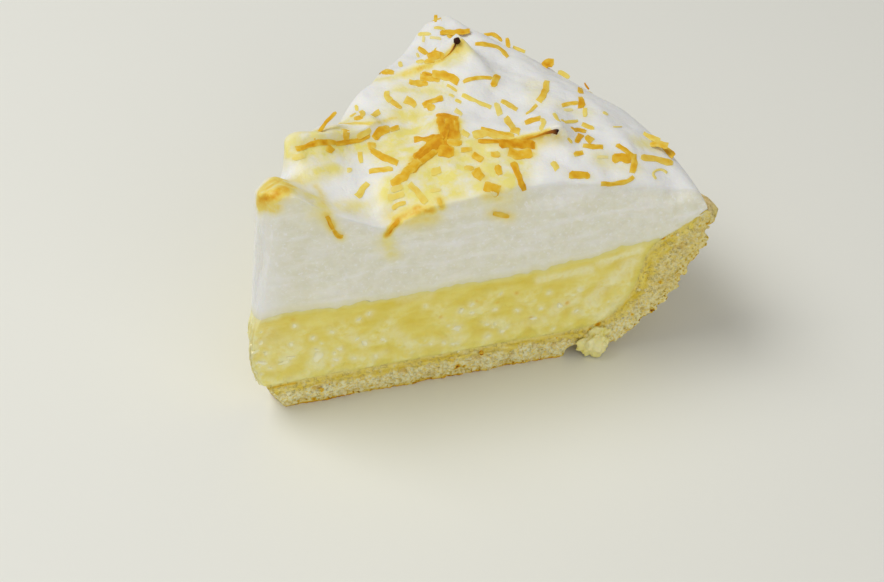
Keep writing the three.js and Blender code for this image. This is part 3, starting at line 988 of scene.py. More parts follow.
def kept_near(centre, centre_pixel, found, pixel):
    """A place along a flake, put back in the flake's own plane where the meringue falls away."""
    distance = (found[0] - centre[0]).length
    furthest = 0.5 + 2.3 * (pixel - centre_pixel).length / PIXELS_PER_MM
    if distance < furthest:
        return found
    facing = (centre[1] + UPWARDS).normalized()
    return in_plane(pixel, centre[0], facing), facing


# %% Lay one flake
FLAKE_THICKNESS = 0.27
FLAKE_SINK = 0.12
EDGE_THINNESS = 0.75
PIXELS_PER_STATION = 2.5


def lay_flake(shape, skins, width, toast, pixels, level=None):
    """Adds one flake through a line of pixels, and returns the places along its middle.

    It rests on the highest of the skins, or else keeps to the height of the place called level.
    """
    toast_layer = shape.verts.layers.float["toast"]
    stations = max(4, round(length_of(pixels) / PIXELS_PER_STATION))
    middle = spread_along(pixels, stations)
    if level is None:
        seen = [seen_on(meringue_skin, pixel) for pixel in middle]
        centre = (seen[stations // 2], middle[stations // 2])
        seen = [kept_near(*centre, *found_and_pixel) for found_and_pixel in zip(seen, middle)]
    else:
        seen = [(in_plane(pixel, level, UPWARDS), UPWARDS) for pixel in middle]
    common = sum((facing for _, facing in seen), Vector((0, 0, 0))).normalized()
    edges = {1: torn_edge(stations), -1: torn_edge(stations)}
    seed = chance.uniform(0, 99)
    for vert in fresh_cube(shape, 1, (stations, 4, 1)):
        station = round((vert.co.x + 0.5) * stations)
        across = vert.co.y
        ahead = middle[min(station + 1, stations)] - middle[max(station - 1, 0)]
        sideways = Vector((-ahead.y, ahead.x)).normalized()
        reach = across * width * edges[1 if across > 0 else -1][station]
        place, facing = seen[station]
        facing = (facing + 2 * common).normalized()
        aside = in_plane(middle[station] + sideways * reach, place, facing) - place
        limit = 2 * abs(reach) / PIXELS_PER_MM
        if aside.length > limit:
            aside = aside.normalized() * limit
        spot = rest_on(skins, place + aside, facing)
        edge_on = abs(across) > 0.49 or station in (0, stations)
        thickness = FLAKE_THICKNESS * (EDGE_THINNESS if edge_on else 1) if vert.co.z > 0 else 0
        vert.co = spot + facing * (thickness - FLAKE_SINK)
        wander = noise.noise(Vector((station * 0.5, across * 2, seed)))
        vert[toast_layer] = toast * (1 + 0.35 * wander - (0.12 if edge_on else 0))
    return [place for place, _ in seen]


# %% Strew the coconut
coconut_shape = bmesh.new()
coconut_shape.verts.layers.float.new("toast")
coconut_marks = []
for width, toast, *numbers in SEEN_FLAKES:
    skins = [meringue_skin]
    if coconut_shape.faces:
        skins.append(BVHTree.FromBMesh(coconut_shape))
    places = lay_flake(coconut_shape, skins, width, toast, pixels_of(numbers))
    for place in places[::2]:
        coconut_marks.append((place, 0.6 + 0.12 * width, 0.3 * toast))
print("the coconut leaves", len(coconut_marks), "stains on the meringue")

# %% [markdown]
# Some flakes stand out past the edge of the meringue, where no line of sight meets it. Each of
# them starts at a place on the meringue and is laid level from there, at that height.

# %% Lay the flakes that stand out
STANDING_FLAKES = [
    (3.5, 0.55, 314, 139, 323, 126, 330, 118, 336, 112), (4, 0.5, 436, 22, 436, 15),
    (3.5, 0.52, 502, 41, 497, 36, 491, 33.5, 484, 35), (5, 0.5, 509, 48, 508, 43, 507, 38),
    (3.5, 0.36, 513, 47, 525, 52), (8, 0.58, 543, 66, 548, 63, 554, 63),
    (5, 0.32, 558, 72, 563, 73, 569, 78), (1.8, 0.84, 589, 89, 586, 86, 584.5, 83),
    (5.5, 0.54, 440, 32.5, 450, 32, 470, 31.5), (5, 0.34, 643, 134, 651, 138, 660, 141),
    (6, 0.42, 650, 145, 658, 143.5, 668, 146), (6, 0.55, 663, 149, 668, 151, 674, 156),
]
for width, toast, *numbers in STANDING_FLAKES:
    base, _ = seen_on(meringue_skin, numbers[:2])
    lay_flake(coconut_shape, [], width, toast, pixels_of(numbers), level=base)
print(len(STANDING_FLAKES), "flakes stand out")

# %% [markdown]
# ## Toasting the meringue
#
# The oven browned the meringue where it stood highest, and the coconut stained it yellow. A
# pattern of noise alone would brown it anywhere. So the marks are placed as they are seen, like
# the flakes, and each corner of the mesh takes the strongest one near it. Browning and the pale
# stain are two values, which the material turns into two colours.

# %% List the browned strokes
# Each row: spread in millimetres, strength, then x and y of each pixel along the stroke
BROWNED_STROKES = [
    (2.3, 0.56, 258, 202, 268, 198, 280, 191, 289, 185), (1.5, 0.68, 260, 200, 272, 197, 281, 190),
    (1, 0.48, 266, 189, 275, 183, 282, 179), (1.2, 0.46, 258, 193, 257, 204),
    (2.8, 0.42, 262, 190, 272, 180, 280, 178), (2.4, 0.2, 288, 180, 300, 182),
    (1.8, 0.34, 262, 207, 276, 208),
    (1.3, 0.24, 316, 187, 322, 194, 323, 203), (0.7, 0.5, 337, 123.5, 350, 123.3, 371, 123),
    (0.8, 0.3, 371, 123, 385, 121, 396, 117), (1.6, 0.34, 405, 74, 418, 69, 430, 65),
    (0.9, 0.5, 418, 69, 432, 64, 442, 59), (0.8, 0.6, 442, 59, 452, 51, 455, 46),
    (1.3, 0.46, 457, 50, 460, 46, 462, 42), (1, 0.72, 387, 235, 392, 228, 398, 220),
    (1.6, 0.52, 397, 220, 408, 214, 420, 210, 431, 211), (1.1, 0.62, 417, 208, 428, 211),
    (2.6, 0.24, 392, 216, 410, 222, 432, 218), (1.3, 0.38, 439, 199, 442, 207),
    (1.3, 0.45, 505, 141, 530, 139), (0.9, 0.62, 516, 140, 535, 136.5, 548, 132),
    (2.2, 0.6, 442, 119, 446, 130, 448, 140), (2, 0.56, 455, 122, 455, 138),
    (2.4, 0.6, 446, 140, 432, 150, 418, 160), (1.7, 0.46, 418, 160, 404, 175),
    (1.8, 0.36, 440, 152, 454, 153), (1.8, 0.4, 510, 144, 532, 146), (1.8, 0.36, 512, 154, 530, 154),
    (1.6, 0.3, 470, 152, 482, 160), (1.8, 0.3, 476, 171, 484, 178), (1.5, 0.3, 488, 187, 500, 190),
    (2.2, 0.24, 530, 142, 550, 138, 558, 136), (1.6, 0.34, 326, 215, 333, 229),
    (1.2, 0.3, 334, 230, 341, 238), (1.8, 0.26, 493, 213, 509, 217),
    (1.4, 0.24, 486, 196, 500, 198), (1.5, 0.3, 478, 141, 505, 142),
]
print(len(BROWNED_STROKES), "browned strokes")

# %% List the yellow stains
STAINS = [
    (4, 0.55, 285, 185, 300, 190, 312, 196, 320, 203), (2.5, 0.5, 303, 176, 320, 172, 335, 168),
    (3.5, 0.45, 288, 146, 300, 139, 320, 134), (3.5, 0.6, 322, 131, 342, 130),
    (3, 0.6, 292, 153, 330, 148, 365, 143), (3, 0.4, 300, 157, 340, 154),
    (3.2, 0.45, 348, 121, 370, 118), (2.4, 0.4, 378, 79, 400, 76, 415, 72),
    (2.6, 0.45, 445, 62, 458, 55, 466, 48), (4.5, 0.42, 402, 90, 425, 92, 442, 90),
    (5, 0.5, 402, 114, 432, 122), (5, 0.55, 395, 140, 420, 128), (4.5, 0.6, 392, 155, 420, 150),
    (4, 0.45, 366, 148, 392, 146), (5, 0.85, 450, 155, 480, 165, 508, 165),
    (5, 0.8, 458, 178, 500, 180), (4.5, 0.8, 395, 190, 420, 203), (4.5, 0.9, 428, 172, 452, 168),
    (4.5, 0.75, 432, 184, 455, 184), (3.5, 0.6, 470, 145, 500, 150),
    (3.5, 0.6, 430, 196, 450, 190, 470, 187), (2.4, 0.4, 385, 240, 392, 252),
    (2.6, 0.4, 342, 207, 362, 207), (3, 0.3, 478, 190, 505, 189), (3, 0.2, 535, 85, 540, 100),
    (3, 0.2, 565, 108, 585, 113), (3, 0.3, 600, 160, 632, 165), (2.6, 0.4, 640, 143, 665, 148),
]

print(len(STAINS), "stains")

# %% Brown the meringue
STEP_PER_SPREAD = 0.5


def marks_along(skin, rows):
    """Marks along each row's line of pixels, close enough together to run into a stroke."""
    marks = []
    for spread, strength, *numbers in rows:
        pixels = pixels_of(numbers)
        step = STEP_PER_SPREAD * spread * PIXELS_PER_MM
        for pixel in spread_along(pixels, max(1, round(length_of(pixels) / step))):
            marks.append((seen_on(skin, pixel)[0], spread, strength))
    return marks


def paint(shape, layer_name, marks):
    """Gives each corner of a shape the strongest of the marks near it."""
    layer = shape.verts.layers.float.new(layer_name)
    tree = kdtree.KDTree(len(marks))
    for i, (place, _, _) in enumerate(marks):
        tree.insert(place, i)
    tree.balance()
    furthest = 2 * max(spread for _, spread, _ in marks)
    for vert in shape.verts:
        strongest = 0
        for _, i, distance in tree.find_range(vert.co, furthest):
            _, spread, strength = marks[i]
            strongest = max(strongest, strength * math.exp(-((distance / spread) ** 2)))
        vert[layer] = strongest
    print(len(marks), "marks of", layer_name)


paint(meringue_shape, "toast", marks_along(meringue_skin, BROWNED_STROKES))
paint(meringue_shape, "stain", marks_along(meringue_skin, STAINS) + coconut_marks)
meringue = make_piece("soft_meringue", meringue_shape, stands_for="meringue")
coconut = make_piece("toasted_coconut", coconut_shape, crisp=35)

# %% [markdown]
# ## The burnt tips
#
# Two thin curls of meringue stood up so far that they burnt: one ends in a dark bead, the other
# in a dark point. Each is drawn out like a tapering tube: a circle is extruded from place to
# place along the crest, and turned and scaled at each one.

# %% Draw out a tube
TIP_SIDES = 10


def tapered_tube(shape, line, radii):
    """Extrudes a circle along a line, with its own radius at each place, and closes both ends."""
    burn_layer = shape.verts.layers.float["toast"]
    ring = bmesh.ops.create_circle(shape, segments=TIP_SIDES, radius=1, cap_ends=True)["verts"]
    for i, (place, radius) in enumerate(zip(line, radii)):
        if i > 0:
            rim = [edge for edge in shape.edges if edge.verts[0] in ring and edge.verts[1] in ring]
            made = bmesh.ops.extrude_edge_only(shape, edges=rim)["geom"]
            ring = [item for item in made if isinstance(item, bmesh.types.BMVert)]
        along = line[min(i + 1, len(line) - 1)] - line[max(i - 1, 0)]
        turn = along.to_track_quat("Z", "Y")
        ring.sort(key=lambda vert: vert.index)
        for side, vert in enumerate(ring):
            angle = 2 * math.pi * side / TIP_SIDES
            vert.co = place + turn @ Vector((math.cos(angle), math.sin(angle), 0)) * radius
            vert[burn_layer] = i / (len(line) - 1)
        shape.verts.index_update()
    bmesh.ops.edgeloop_fill(shape, edges=[edge for edge in shape.edges if edge.is_boundary])


def tip_line(numbers, lifts):
    """A line on the meringue through several pixels, lifted above it by some millimetres."""
    places = [seen_on(meringue_skin, pixel)[0] for pixel in pixels_of(numbers)]
    return [place + Vector((0, 0, lift)) for place, lift in zip(places, lifts)]


# %% Draw out the tips
BEAD_PIXELS = [441, 60, 446, 56.5, 450, 53, 453, 49.5, 455, 46.5, 457, 43]
BEAD_LIFTS = [-0.1, -0.08, -0.05, 0.1, 0.3, 0.7]
BEAD_RADII = [0.1, 0.14, 0.18, 0.2, 0.22, 0.3]
POINT_PIXELS = [514, 140, 526, 138.5, 536, 136.5, 545, 133.5, 552, 132, 556, 132.5, 558.5, 131]
POINT_LIFTS = [-0.1, -0.05, 0, 0.05, 0.1, 0.2, 0.4]
POINT_RADII = [0.08, 0.14, 0.2, 0.28, 0.45, 0.8, 0.2]

tips_shape = bmesh.new()
tips_shape.verts.layers.float.new("toast")
bead_line = tip_line(BEAD_PIXELS, BEAD_LIFTS)
tapered_tube(tips_shape, bead_line, BEAD_RADII)
point_line = tip_line(POINT_PIXELS, POINT_LIFTS)
tapered_tube(tips_shape, point_line, POINT_RADII)
print("the tips stand", [round(line[-1].z) for line in (bead_line, point_line)], "mm high")

# %% Add the bead
BEAD_RADIUS = 0.9

bead = bmesh.ops.create_icosphere(tips_shape, subdivisions=3, radius=BEAD_RADIUS)["verts"]
burn_layer = tips_shape.verts.layers.float["toast"]
for vert in bead:
    vert.co *= 1 + 0.2 * noise.noise(1.9 * vert.co)
    vert.co += bead_line[-1]
    vert[burn_layer] = 1.0
burnt_tips = make_piece("burnt_tips", tips_shape)

# %% [markdown]
# ## Flecks in the filling
#
# Soaked coconut shows on the cuts as cream-white flecks, half sunk in the gel. The clear ones
# are placed as they are seen, by the length that shows and a pixel. The others follow a rule on
# both cuts and the front: few on the near cut, where the clear ones are, and more on the far one.
# Each fleck is a cube divided and rounded to a ball of 54 faces, then flattened and made uneven.
# Round it the gel turns paler, and that soft edge is painted on the filling like the stains. So
# are larger pale lumps that lie under the surface, and the specks of zest.

# %% List what shows in the gel
# Each row: millimetres that show, then x and y of the pixel
CLEAR_FLECKS = [
    (2.4, 285, 362), (1.6, 291, 358), (2.2, 318, 357), (1.4, 317, 350), (1.9, 364, 343),
    (1.1, 357, 339), (1.1, 382.6, 339.5), (1.2, 376, 357), (1, 354, 358.5), (1.1, 359, 319.5),
    (0.9, 425.7, 306), (1.3, 461, 311), (1.1, 472, 304.6), (1.2, 472, 313), (1.9, 457, 328),
    (1.1, 487, 324.5), (1.2, 495, 324.5), (1.1, 494.6, 309.6), (0.9, 430.7, 344), (1.1, 444, 343),
    (1.3, 453, 344), (1.2, 313, 338), (1.1, 294.7, 326), (1.1, 291, 344), (1.3, 261, 343),
    (1.9, 263, 363), (1.3, 256, 352), (1.2, 270, 368), (1.1, 332, 332), (1.3, 339.5, 349),
    (0.9, 334.5, 353.5), (1, 459, 353.5), (1, 549, 293), (1, 540.6, 308.8), (1.2, 517.5, 310.4),
    (1.9, 560, 306), (1.5, 576, 311), (1, 507, 327), (1.3, 580, 290),
]
# Each row: spread in millimetres, strength, then x and y of each pixel along the lump
PALE_LUMPS = [
    (1.8, 0.75, 283, 360, 290, 357), (1.9, 0.8, 317, 352, 319, 361), (1.6, 0.6, 352, 336, 364, 343),
    (1.6, 0.55, 262, 362, 272, 368), (1.4, 0.5, 256, 345, 258, 352), (1.5, 0.5, 270, 330, 262, 342),
    (1.2, 0.55, 455, 325, 459, 330), (1.2, 0.45, 374, 357, 384, 353), (1.6, 0.4, 425, 345, 460, 338),
    (1.6, 0.45, 485, 322, 500, 326), (2, 0.7, 555, 310, 575, 300), (2, 0.75, 590, 300, 605, 285),
    (2.2, 0.75, 612, 280, 632, 262), (2, 0.7, 602, 316, 618, 300),
    (1.3, 0.8, 540, 280, 590, 269), (1.2, 0.9, 600, 263, 640, 250),
    (1.5, 0.4, 330, 375, 345, 372), (1.5, 0.4, 300, 378, 285, 380), (1.3, 0.35, 400, 300, 430, 296),
    (2.4, 0.95, 254, 314, 251, 322), (1.7, 0.8, 249, 334, 249, 354), (1.6, 0.6, 262, 318, 275, 316),
    (1.4, 0.4, 515, 325, 545, 318), (1.5, 0.4, 395, 330, 410, 345), (3, 0.8, 590, 345, 600, 350),
    (5, 0.3, 262, 330, 285, 350),
]
ZEST = [
    (0.55, 0.9, 516.7, 293), (0.6, 0.95, 567, 303), (0.5, 0.8, 531, 317.6),
    (0.45, 0.7, 497.5, 302.4), (0.7, 0.6, 293, 319.5), (0.5, 0.7, 440.7, 317),
    (0.4, 0.6, 477, 301),
]
print(len(CLEAR_FLECKS), "clear flecks,", len(PALE_LUMPS), "pale lumps and", len(ZEST), "specks")

# %% Lay one fleck


def add_fleck(shape, place, facing, size):
    """Adds one soft fleck of that length, mostly sunk where it lies."""
    turn = facing.to_track_quat("Z", "Y") @ Vector((1, 0, 0)).rotation_difference(
        heading(chance.uniform(0, 2 * math.pi))
    )
    wide = size * chance.uniform(0.4, 0.8)
    seed = Vector((chance.uniform(0, 99), 0, 0))
    thick = 0.2 + 0.12 * size
    for vert in fresh_cube(shape, 2, (3, 3, 3)):
        ball = vert.co.normalized()
        ball *= 1 + 0.6 * noise.noise(1.5 * ball + seed)
        vert.co = Vector((ball.x * size / 2, ball.y * wide / 2, (ball.z - 0.5) * thick))
        vert.co = place + turn @ vert.co
    pale_marks.append((place, 0.3 + 0.5 * size, 0.85))


# %% Lay the clear flecks
WHOLE_PER_SHOWN = 1.4

pale_marks = marks_along(filling_skin, PALE_LUMPS)
zest_marks = marks_along(filling_skin, ZEST)
flecks_shape = bmesh.new()
for size, x, y in CLEAR_FLECKS:
    place, facing = seen_on(filling_skin, (x, y))
    add_fleck(flecks_shape, place, facing, WHOLE_PER_SHOWN * size)

print(len(flecks_shape.faces), "faces on the clear flecks")

# %% Scatter the other flecks
FLECKS_ON_NEAR_CUT = 15
FLECKS_ON_FAR_CUT = 48
FLECKS_IN_FRONT = 16
FLECK_HEIGHTS = (BASE_THICKNESS + 1, FILLING_HEIGHT - 2)
ZEST_SHARE = 0.12

scattered = ((NEAR_CUT, NEAR_NORMAL, FLECKS_ON_NEAR_CUT), (FAR_CUT, FAR_NORMAL, FLECKS_ON_FAR_CUT))
for along_cut, normal, count in scattered:
    for _ in range(count):
        radius = 8 + 92 * chance.random() ** 1.2
        height = mix(*FLECK_HEIGHTS, chance.random() ** 1.3)
        outside = along_cut * radius + normal * 8 + Vector((0, 0, height))
        place, facing, _, _ = filling_skin.ray_cast(outside, -normal)
        if place is not None and place.dot(normal) > -3:
            add_fleck(flecks_shape, place, facing, 0.7 + 1.6 * chance.random() ** 2)
            if normal == FAR_NORMAL and chance.random() < ZEST_SHARE:
                zest_marks.append((place + 3 * along_cut, 0.5, 0.8))

for _ in range(FLECKS_IN_FRONT):
    bearing = chance.uniform(-HALF_ANGLE, HALF_ANGLE)
    height = mix(*FLECK_HEIGHTS, chance.random())
    outside = Vector((-8, 5 * math.sin(bearing), height))
    place, facing, _, _ = filling_skin.ray_cast(outside, Vector((1, 0, 0)))
    if place is not None:
        add_fleck(flecks_shape, place, facing, 0.7 + 1.4 * chance.random() ** 2)
paint(filling_shape, "pale", pale_marks)
paint(filling_shape, "zest", zest_marks)
filling = make_piece("lemon_filling", filling_shape, stands_for="filling")
flecks = make_piece("coconut_flecks", flecks_shape)

# %% [markdown]
# ## Crumbs
#
# Pastry sheds crumbs where the knife went through and where the wall broke off. Each is an
# icosphere made uneven with noise, and they cling to the crust's own surface, most of them on
# the two cuts. A few places on the crust are scorched; those are painted like the meringue.

# %% List the scorched places
# Each row: spread in millimetres, strength, then x and y of each pixel along the place
SCORCHED = [
    (1, 1, 457, 367), (0.6, 0.8, 464, 366), (0.8, 0.8, 663, 238), (0.6, 0.6, 672, 236),
    (0.7, 0.75, 314, 399), (0.6, 0.7, 371, 386), (0.7, 0.7, 445, 377), (0.6, 0.7, 428, 379),
    (1.1, 0.75, 598, 324), (1, 0.7, 591, 330), (0.6, 0.6, 632, 314), (0.5, 0.5, 700, 226),
    (0.7, 0.4, 396, 387, 408, 384), (0.7, 0.45, 416, 381, 432, 378), (0.6, 0.4, 440, 377, 455, 375),
    (0.5, 0.4, 366, 390, 384, 388), (0.6, 0.5, 268, 389, 284, 385, 296, 383),
]
print(len(SCORCHED), "scorched places")

# %% Scatter the crumbs
CRUMBS = 300
CRUMBS_ON_WALL = 0.35

crumbs_shape = bmesh.new()


def crumb_from(start, way):
    """Adds a crumb where a line from a place meets the crust."""
    place, facing, _, _ = crust_skin.ray_cast(start, way, 30)
    if place is None:
        return
    size = 0.4 + 1.1 * chance.random() ** 3
    seed = Vector((chance.uniform(0, 99), 0, 0))
    for vert in bmesh.ops.create_icosphere(crumbs_shape, subdivisions=2, radius=size / 2)["verts"]:
        vert.co *= 1 + 0.7 * noise.noise(vert.co * 2.4 + seed)
        vert.co += place + facing * 0.1 * size
        vert.co.z = max(vert.co.z, 0)


for _ in range(CRUMBS):
    along_cut, normal = chance.choice(((NEAR_CUT, NEAR_NORMAL), (FAR_CUT, FAR_NORMAL)))
    radius = chance.uniform(8, 118)
    if chance.random() < CRUMBS_ON_WALL:
        outwards = heading(chance.uniform(-HALF_ANGLE, HALF_ANGLE))
        crumb_from(outwards * 135 + Vector((0, 0, chance.uniform(3, 40))), -outwards)
    else:
        on_wall = smoothstep(radius, 84, 100)
        height = mix(chance.uniform(0.4, 8), chance.uniform(12, 38), on_wall)
        crumb_from(along_cut * radius + normal * 9 + Vector((0, 0, height)), -normal)
crumbs = make_piece("crumbs", crumbs_shape)
paint(crust_shape, "scorch", marks_along(crust_skin, SCORCHED))
crust = make_piece("pastry_crust", crust_shape, stands_for="crust")

# %% [markdown]
# ## Building materials
#
# Every finish here is worked out by nodes from the place on the object, so it has grain at any
# distance and needs no picture. A few small helpers keep the node trees short to write: they
# add a node and link or set its inputs, calculate, spread a value over a range and mix colours.
# Two more make a node group with named inputs and outputs, and place it in a material.

# %% Helpers for nodes


def fill_inputs(tree, made, inputs):
    """Gives each input of a node a value, or the socket that it is linked to."""
    for name, value in inputs.items():
        if isinstance(value, bpy.types.NodeSocket):
            tree.links.new(value, made.inputs[name])
        else:
            made.inputs[name].default_value = value


def add_node(tree, kind, inputs, **settings):
    """Adds a node with its settings, and fills its inputs."""
    made = tree.nodes.new("ShaderNode" + kind)
    for name, value in settings.items():
        setattr(made, name, value)
    fill_inputs(tree, made, inputs)
    return made


def maths(tree, operation, first, second, clamped=True):
    """The result of a calculation with two values or sockets, kept from 0 to 1 when clamped."""
    values = {0: first, 1: second}
    return add_node(tree, "Math", values, operation=operation, use_clamp=clamped).outputs[0]


def ramp_of(tree, value, start, end, low=0, high=1):
    """A value that goes evenly from low to high while another goes from start to end."""
    limits = {"Value": value, "From Min": start, "From Max": end, "To Min": low, "To Max": high}
    return add_node(tree, "MapRange", limits).outputs[0]


def mix_colours(tree, share, first, second):
    """A mix of two colours. Sockets 0, 6 and 7 are its share and its two colours."""
    return add_node(tree, "Mix", {0: share, 6: first, 7: second}, data_type="RGBA").outputs[2]


def colour(red, green, blue):
    """A solid colour as a socket takes it: red, green and blue in linear light, and opaque."""
    return (red, green, blue, 1)


# %% Helpers for node groups


def start_group(name, inputs, outputs):
    """An empty node group, with its input and output nodes."""
    tree = bpy.data.node_groups.new(name, "ShaderNodeTree")
    for socket, kind in inputs.items():
        tree.interface.new_socket(name=socket, in_out="INPUT", socket_type="NodeSocket" + kind)
    for socket, kind in outputs.items():
        tree.interface.new_socket(name=socket, in_out="OUTPUT", socket_type="NodeSocket" + kind)
    return tree, tree.nodes.new("NodeGroupInput").outputs, tree.nodes.new("NodeGroupOutput").inputs


def use_group(tree, group, inputs):
    """Places a group in a material with its own values."""
    made = tree.nodes.new("ShaderNodeGroup")
    made.node_tree = group
    fill_inputs(tree, made, inputs)
    return made.outputs


# %% [markdown]
# Food is never one colour. The patches group gives a soft mask of spots of a chosen size, used
# wherever one tint gives way to another. The sharpness says how crisp their edges are.

# %% A group for patches
patches, given, result = start_group(
    "patches",
    {"Place": "Vector", "Size mm": "Float", "Amount": "Float", "Sharpness": "Float"},
    {"Mask": "Float"},
)
scale = maths(patches, "DIVIDE", 1000, given["Size mm"], clamped=False)
cloud = add_node(
    patches, "TexNoise", {"Vector": given["Place"], "Scale": scale, "Detail": 3, "Roughness": 0.55}
)
offset = maths(patches, "SUBTRACT", cloud.outputs["Fac"], 0.5, clamped=False)
steep = maths(patches, "MULTIPLY", offset, given["Sharpness"], clamped=False)
patches.links.new(maths(patches, "ADD", steep, given["Amount"]), result["Mask"])


def patch_mask(tree, place, size, amount, sharpness):
    """A mask of patches about size mm across. A larger amount covers more of the surface."""
    values = {"Place": place, "Size mm": size, "Amount": amount, "Sharpness": sharpness}
    return use_group(tree, patches, values)["Mask"]


print(patches.name, "has", len(patches.nodes), "nodes")

# %% [markdown]
# Sugar browns in the same steps on every food: pale, gold, orange-brown and then nearly black.
# The browning group holds those steps once, for the meringue, the coconut, the pastry and the
# burnt tips. It starts from the food's own raw colour. Baked colours turn too red on a screen
# very easily, so the steps keep close to yellow until they are dark.

# %% A group for browning
BROWNING_STEPS = [
    (0, colour(0.9, 0.82, 0.42)),
    (0.3, colour(0.88, 0.7, 0.15)),
    (0.5, colour(0.82, 0.49, 0.03)),
    (0.68, colour(0.72, 0.32, 0.006)),
    (0.84, colour(0.36, 0.12, 0.015)),
    (1, colour(0.04, 0.012, 0.008)),
]

browning, given, result = start_group(
    "browning", {"Raw": "Color", "Browned": "Float"}, {"Color": "Color"}
)
steps = add_node(browning, "ValToRGB", {"Fac": given["Browned"]})
ramp = steps.color_ramp
ramp.elements.remove(ramp.elements[1])
for i, (position, shade) in enumerate(BROWNING_STEPS):
    step = ramp.elements[0] if i == 0 else ramp.elements.new(position)
    step.position = position
    step.color = shade
taken = ramp_of(browning, given["Browned"], 0, 0.25)
browned = mix_colours(browning, taken, given["Raw"], steps.outputs["Color"])
browning.links.new(browned, result["Color"])
print(browning.name, "has", len(BROWNING_STEPS), "steps")

# %% [markdown]
# The grain group is the fine surface: noise of one size, with uneven pits of another, turned to
# a normal by a Bump node. What is large enough to change an outline is already in the meshes, so
# this only carries what is finer than a millimetre.

# %% A group for grain
grain_inputs = {"Place": "Vector"}
for measure in ("Size mm", "Pit size mm", "Pits", "Depth mm"):
    grain_inputs[measure] = "Float"
grain, given, result = start_group("grain", grain_inputs, {"Normal": "Vector"})


def noise_of_size(tree, place, size, detail):
    """Noise whose largest grains are about size mm across."""
    scale = maths(tree, "DIVIDE", 1000, size, clamped=False)
    inputs = {"Vector": place, "Scale": scale, "Detail": detail, "Roughness": 0.6}
    return add_node(tree, "TexNoise", inputs).outputs["Fac"]


surface = noise_of_size(grain, given["Place"], given["Size mm"], 4)
spots = noise_of_size(grain, given["Place"], given["Pit size mm"], 1)
holes = ramp_of(grain, spots, 0.56, 0.7)
deep = maths(grain, "MULTIPLY", holes, given["Pits"])
height = maths(grain, "SUBTRACT", surface, deep, clamped=False)
distance = maths(grain, "MULTIPLY", given["Depth mm"], MM, clamped=False)
bump = add_node(grain, "Bump", {"Height": height, "Distance": distance, "Strength": 1})
grain.links.new(bump.outputs["Normal"], result["Normal"])
print(grain.name, "has", len(grain.nodes), "nodes")

# %% Start and finish a material


def start_material(name, roughness, gloss, soft, soft_depth):
    """A material with its shader, and the place that its patterns read."""
    material = bpy.data.materials.new(name)
    material.use_nodes = True
    tree = material.node_tree
    shader = tree.nodes["Principled BSDF"]
    shader.inputs["Roughness"].default_value = roughness
    shader.inputs["Specular IOR Level"].default_value = gloss
    shader.inputs["Subsurface Weight"].default_value = soft
    shader.inputs["Subsurface Radius"].default_value = (1, 0.8, 0.45)
    shader.inputs["Subsurface Scale"].default_value = soft_depth * MM
    return tree, tree.nodes.new("ShaderNodeTexCoord").outputs["Object"]


def dress(piece, tree, tint, size, pit_size, pits, depth):
    """Gives a piece its material, with a tint and the fine surface of the grain group."""
    place = next(node for node in tree.nodes if node.type == "TEX_COORD").outputs["Object"]
    measures = {"Size mm": size, "Pit size mm": pit_size, "Pits": pits, "Depth mm": depth}
    normal = use_group(tree, grain, {"Place": place, **measures})["Normal"]
    shader = tree.nodes["Principled BSDF"]
    tree.links.new(tint, shader.inputs["Base Color"])
    tree.links.new(normal, shader.inputs["Normal"])
    material = next(material for material in bpy.data.materials if material.node_tree == tree)
    piece.data.materials.append(material)
    print(piece.name, "wears", material.name)


def attribute(tree, name, output="Fac"):
    """A value that was kept on the corners of the mesh."""
    return add_node(tree, "Attribute", {}, attribute_name=name).outputs[output]


def browned_tint(tree, raw, browned):
    """The raw colour, browned by a share from 0 to 1."""
    return use_group(tree, browning, {"Raw": raw, "Browned": browned})["Color"]


# %% [markdown]
# ## The meringue's finish
#
# Meringue is a foam: light goes a little way into it, so it gets some subsurface scattering.
# The top is a smooth, faintly shiny skin. The cut is duller and creamier, with fine torn
# bubbles and pale smears. Along its top edge the cut is painted greyer, as painted shade where
# the rounded edge turns from the light, and towards the crushed point it is painted whiter, as
# painted light where the point faces the lamp. Where it touches the filling it has soaked up
# some yellow.

# %% Mix the meringue's skin and foam
PAINTED_LIGHT_FROM = -51
PAINTED_LIGHT_FULL_AT = -57

tree, place = start_material("soft_meringue", roughness=0.5, gloss=0.35, soft=0.2, soft_depth=2.5)
cut = attribute(tree, "cut")
up = attribute(tree, "up")
dragged_place = attribute(tree, "drag", "Vector")
broad = patch_mask(tree, place, 9, 0.45, 2.4)
skin = mix_colours(tree, broad, colour(0.86, 0.86, 0.83), colour(0.9, 0.9, 0.88))
small = patch_mask(tree, place, 2.6, 0.35, 2.6)
foam = mix_colours(tree, small, colour(0.82, 0.8, 0.64), colour(0.9, 0.885, 0.78))
smears = patch_mask(tree, dragged_place, 3, 0.06, 3.8)
torn = mix_colours(tree, smears, foam, colour(0.93, 0.92, 0.87))
bubbles = patch_mask(tree, place, 0.9, -0.3, 5)
torn = mix_colours(tree, bubbles, torn, colour(0.96, 0.955, 0.92))
torn = mix_colours(tree, ramp_of(tree, up, 0.05, 0.3, 0.3, 0), torn, colour(0.86, 0.83, 0.6))
# Painted shade: the cut's foam is greyed along its top edge, where it rounds away from the light.
torn = mix_colours(tree, ramp_of(tree, up, 0.88, 0.98, 0, 0.5), torn, colour(0.84, 0.84, 0.83))
across = add_node(tree, "SeparateXYZ", {"Vector": place}).outputs
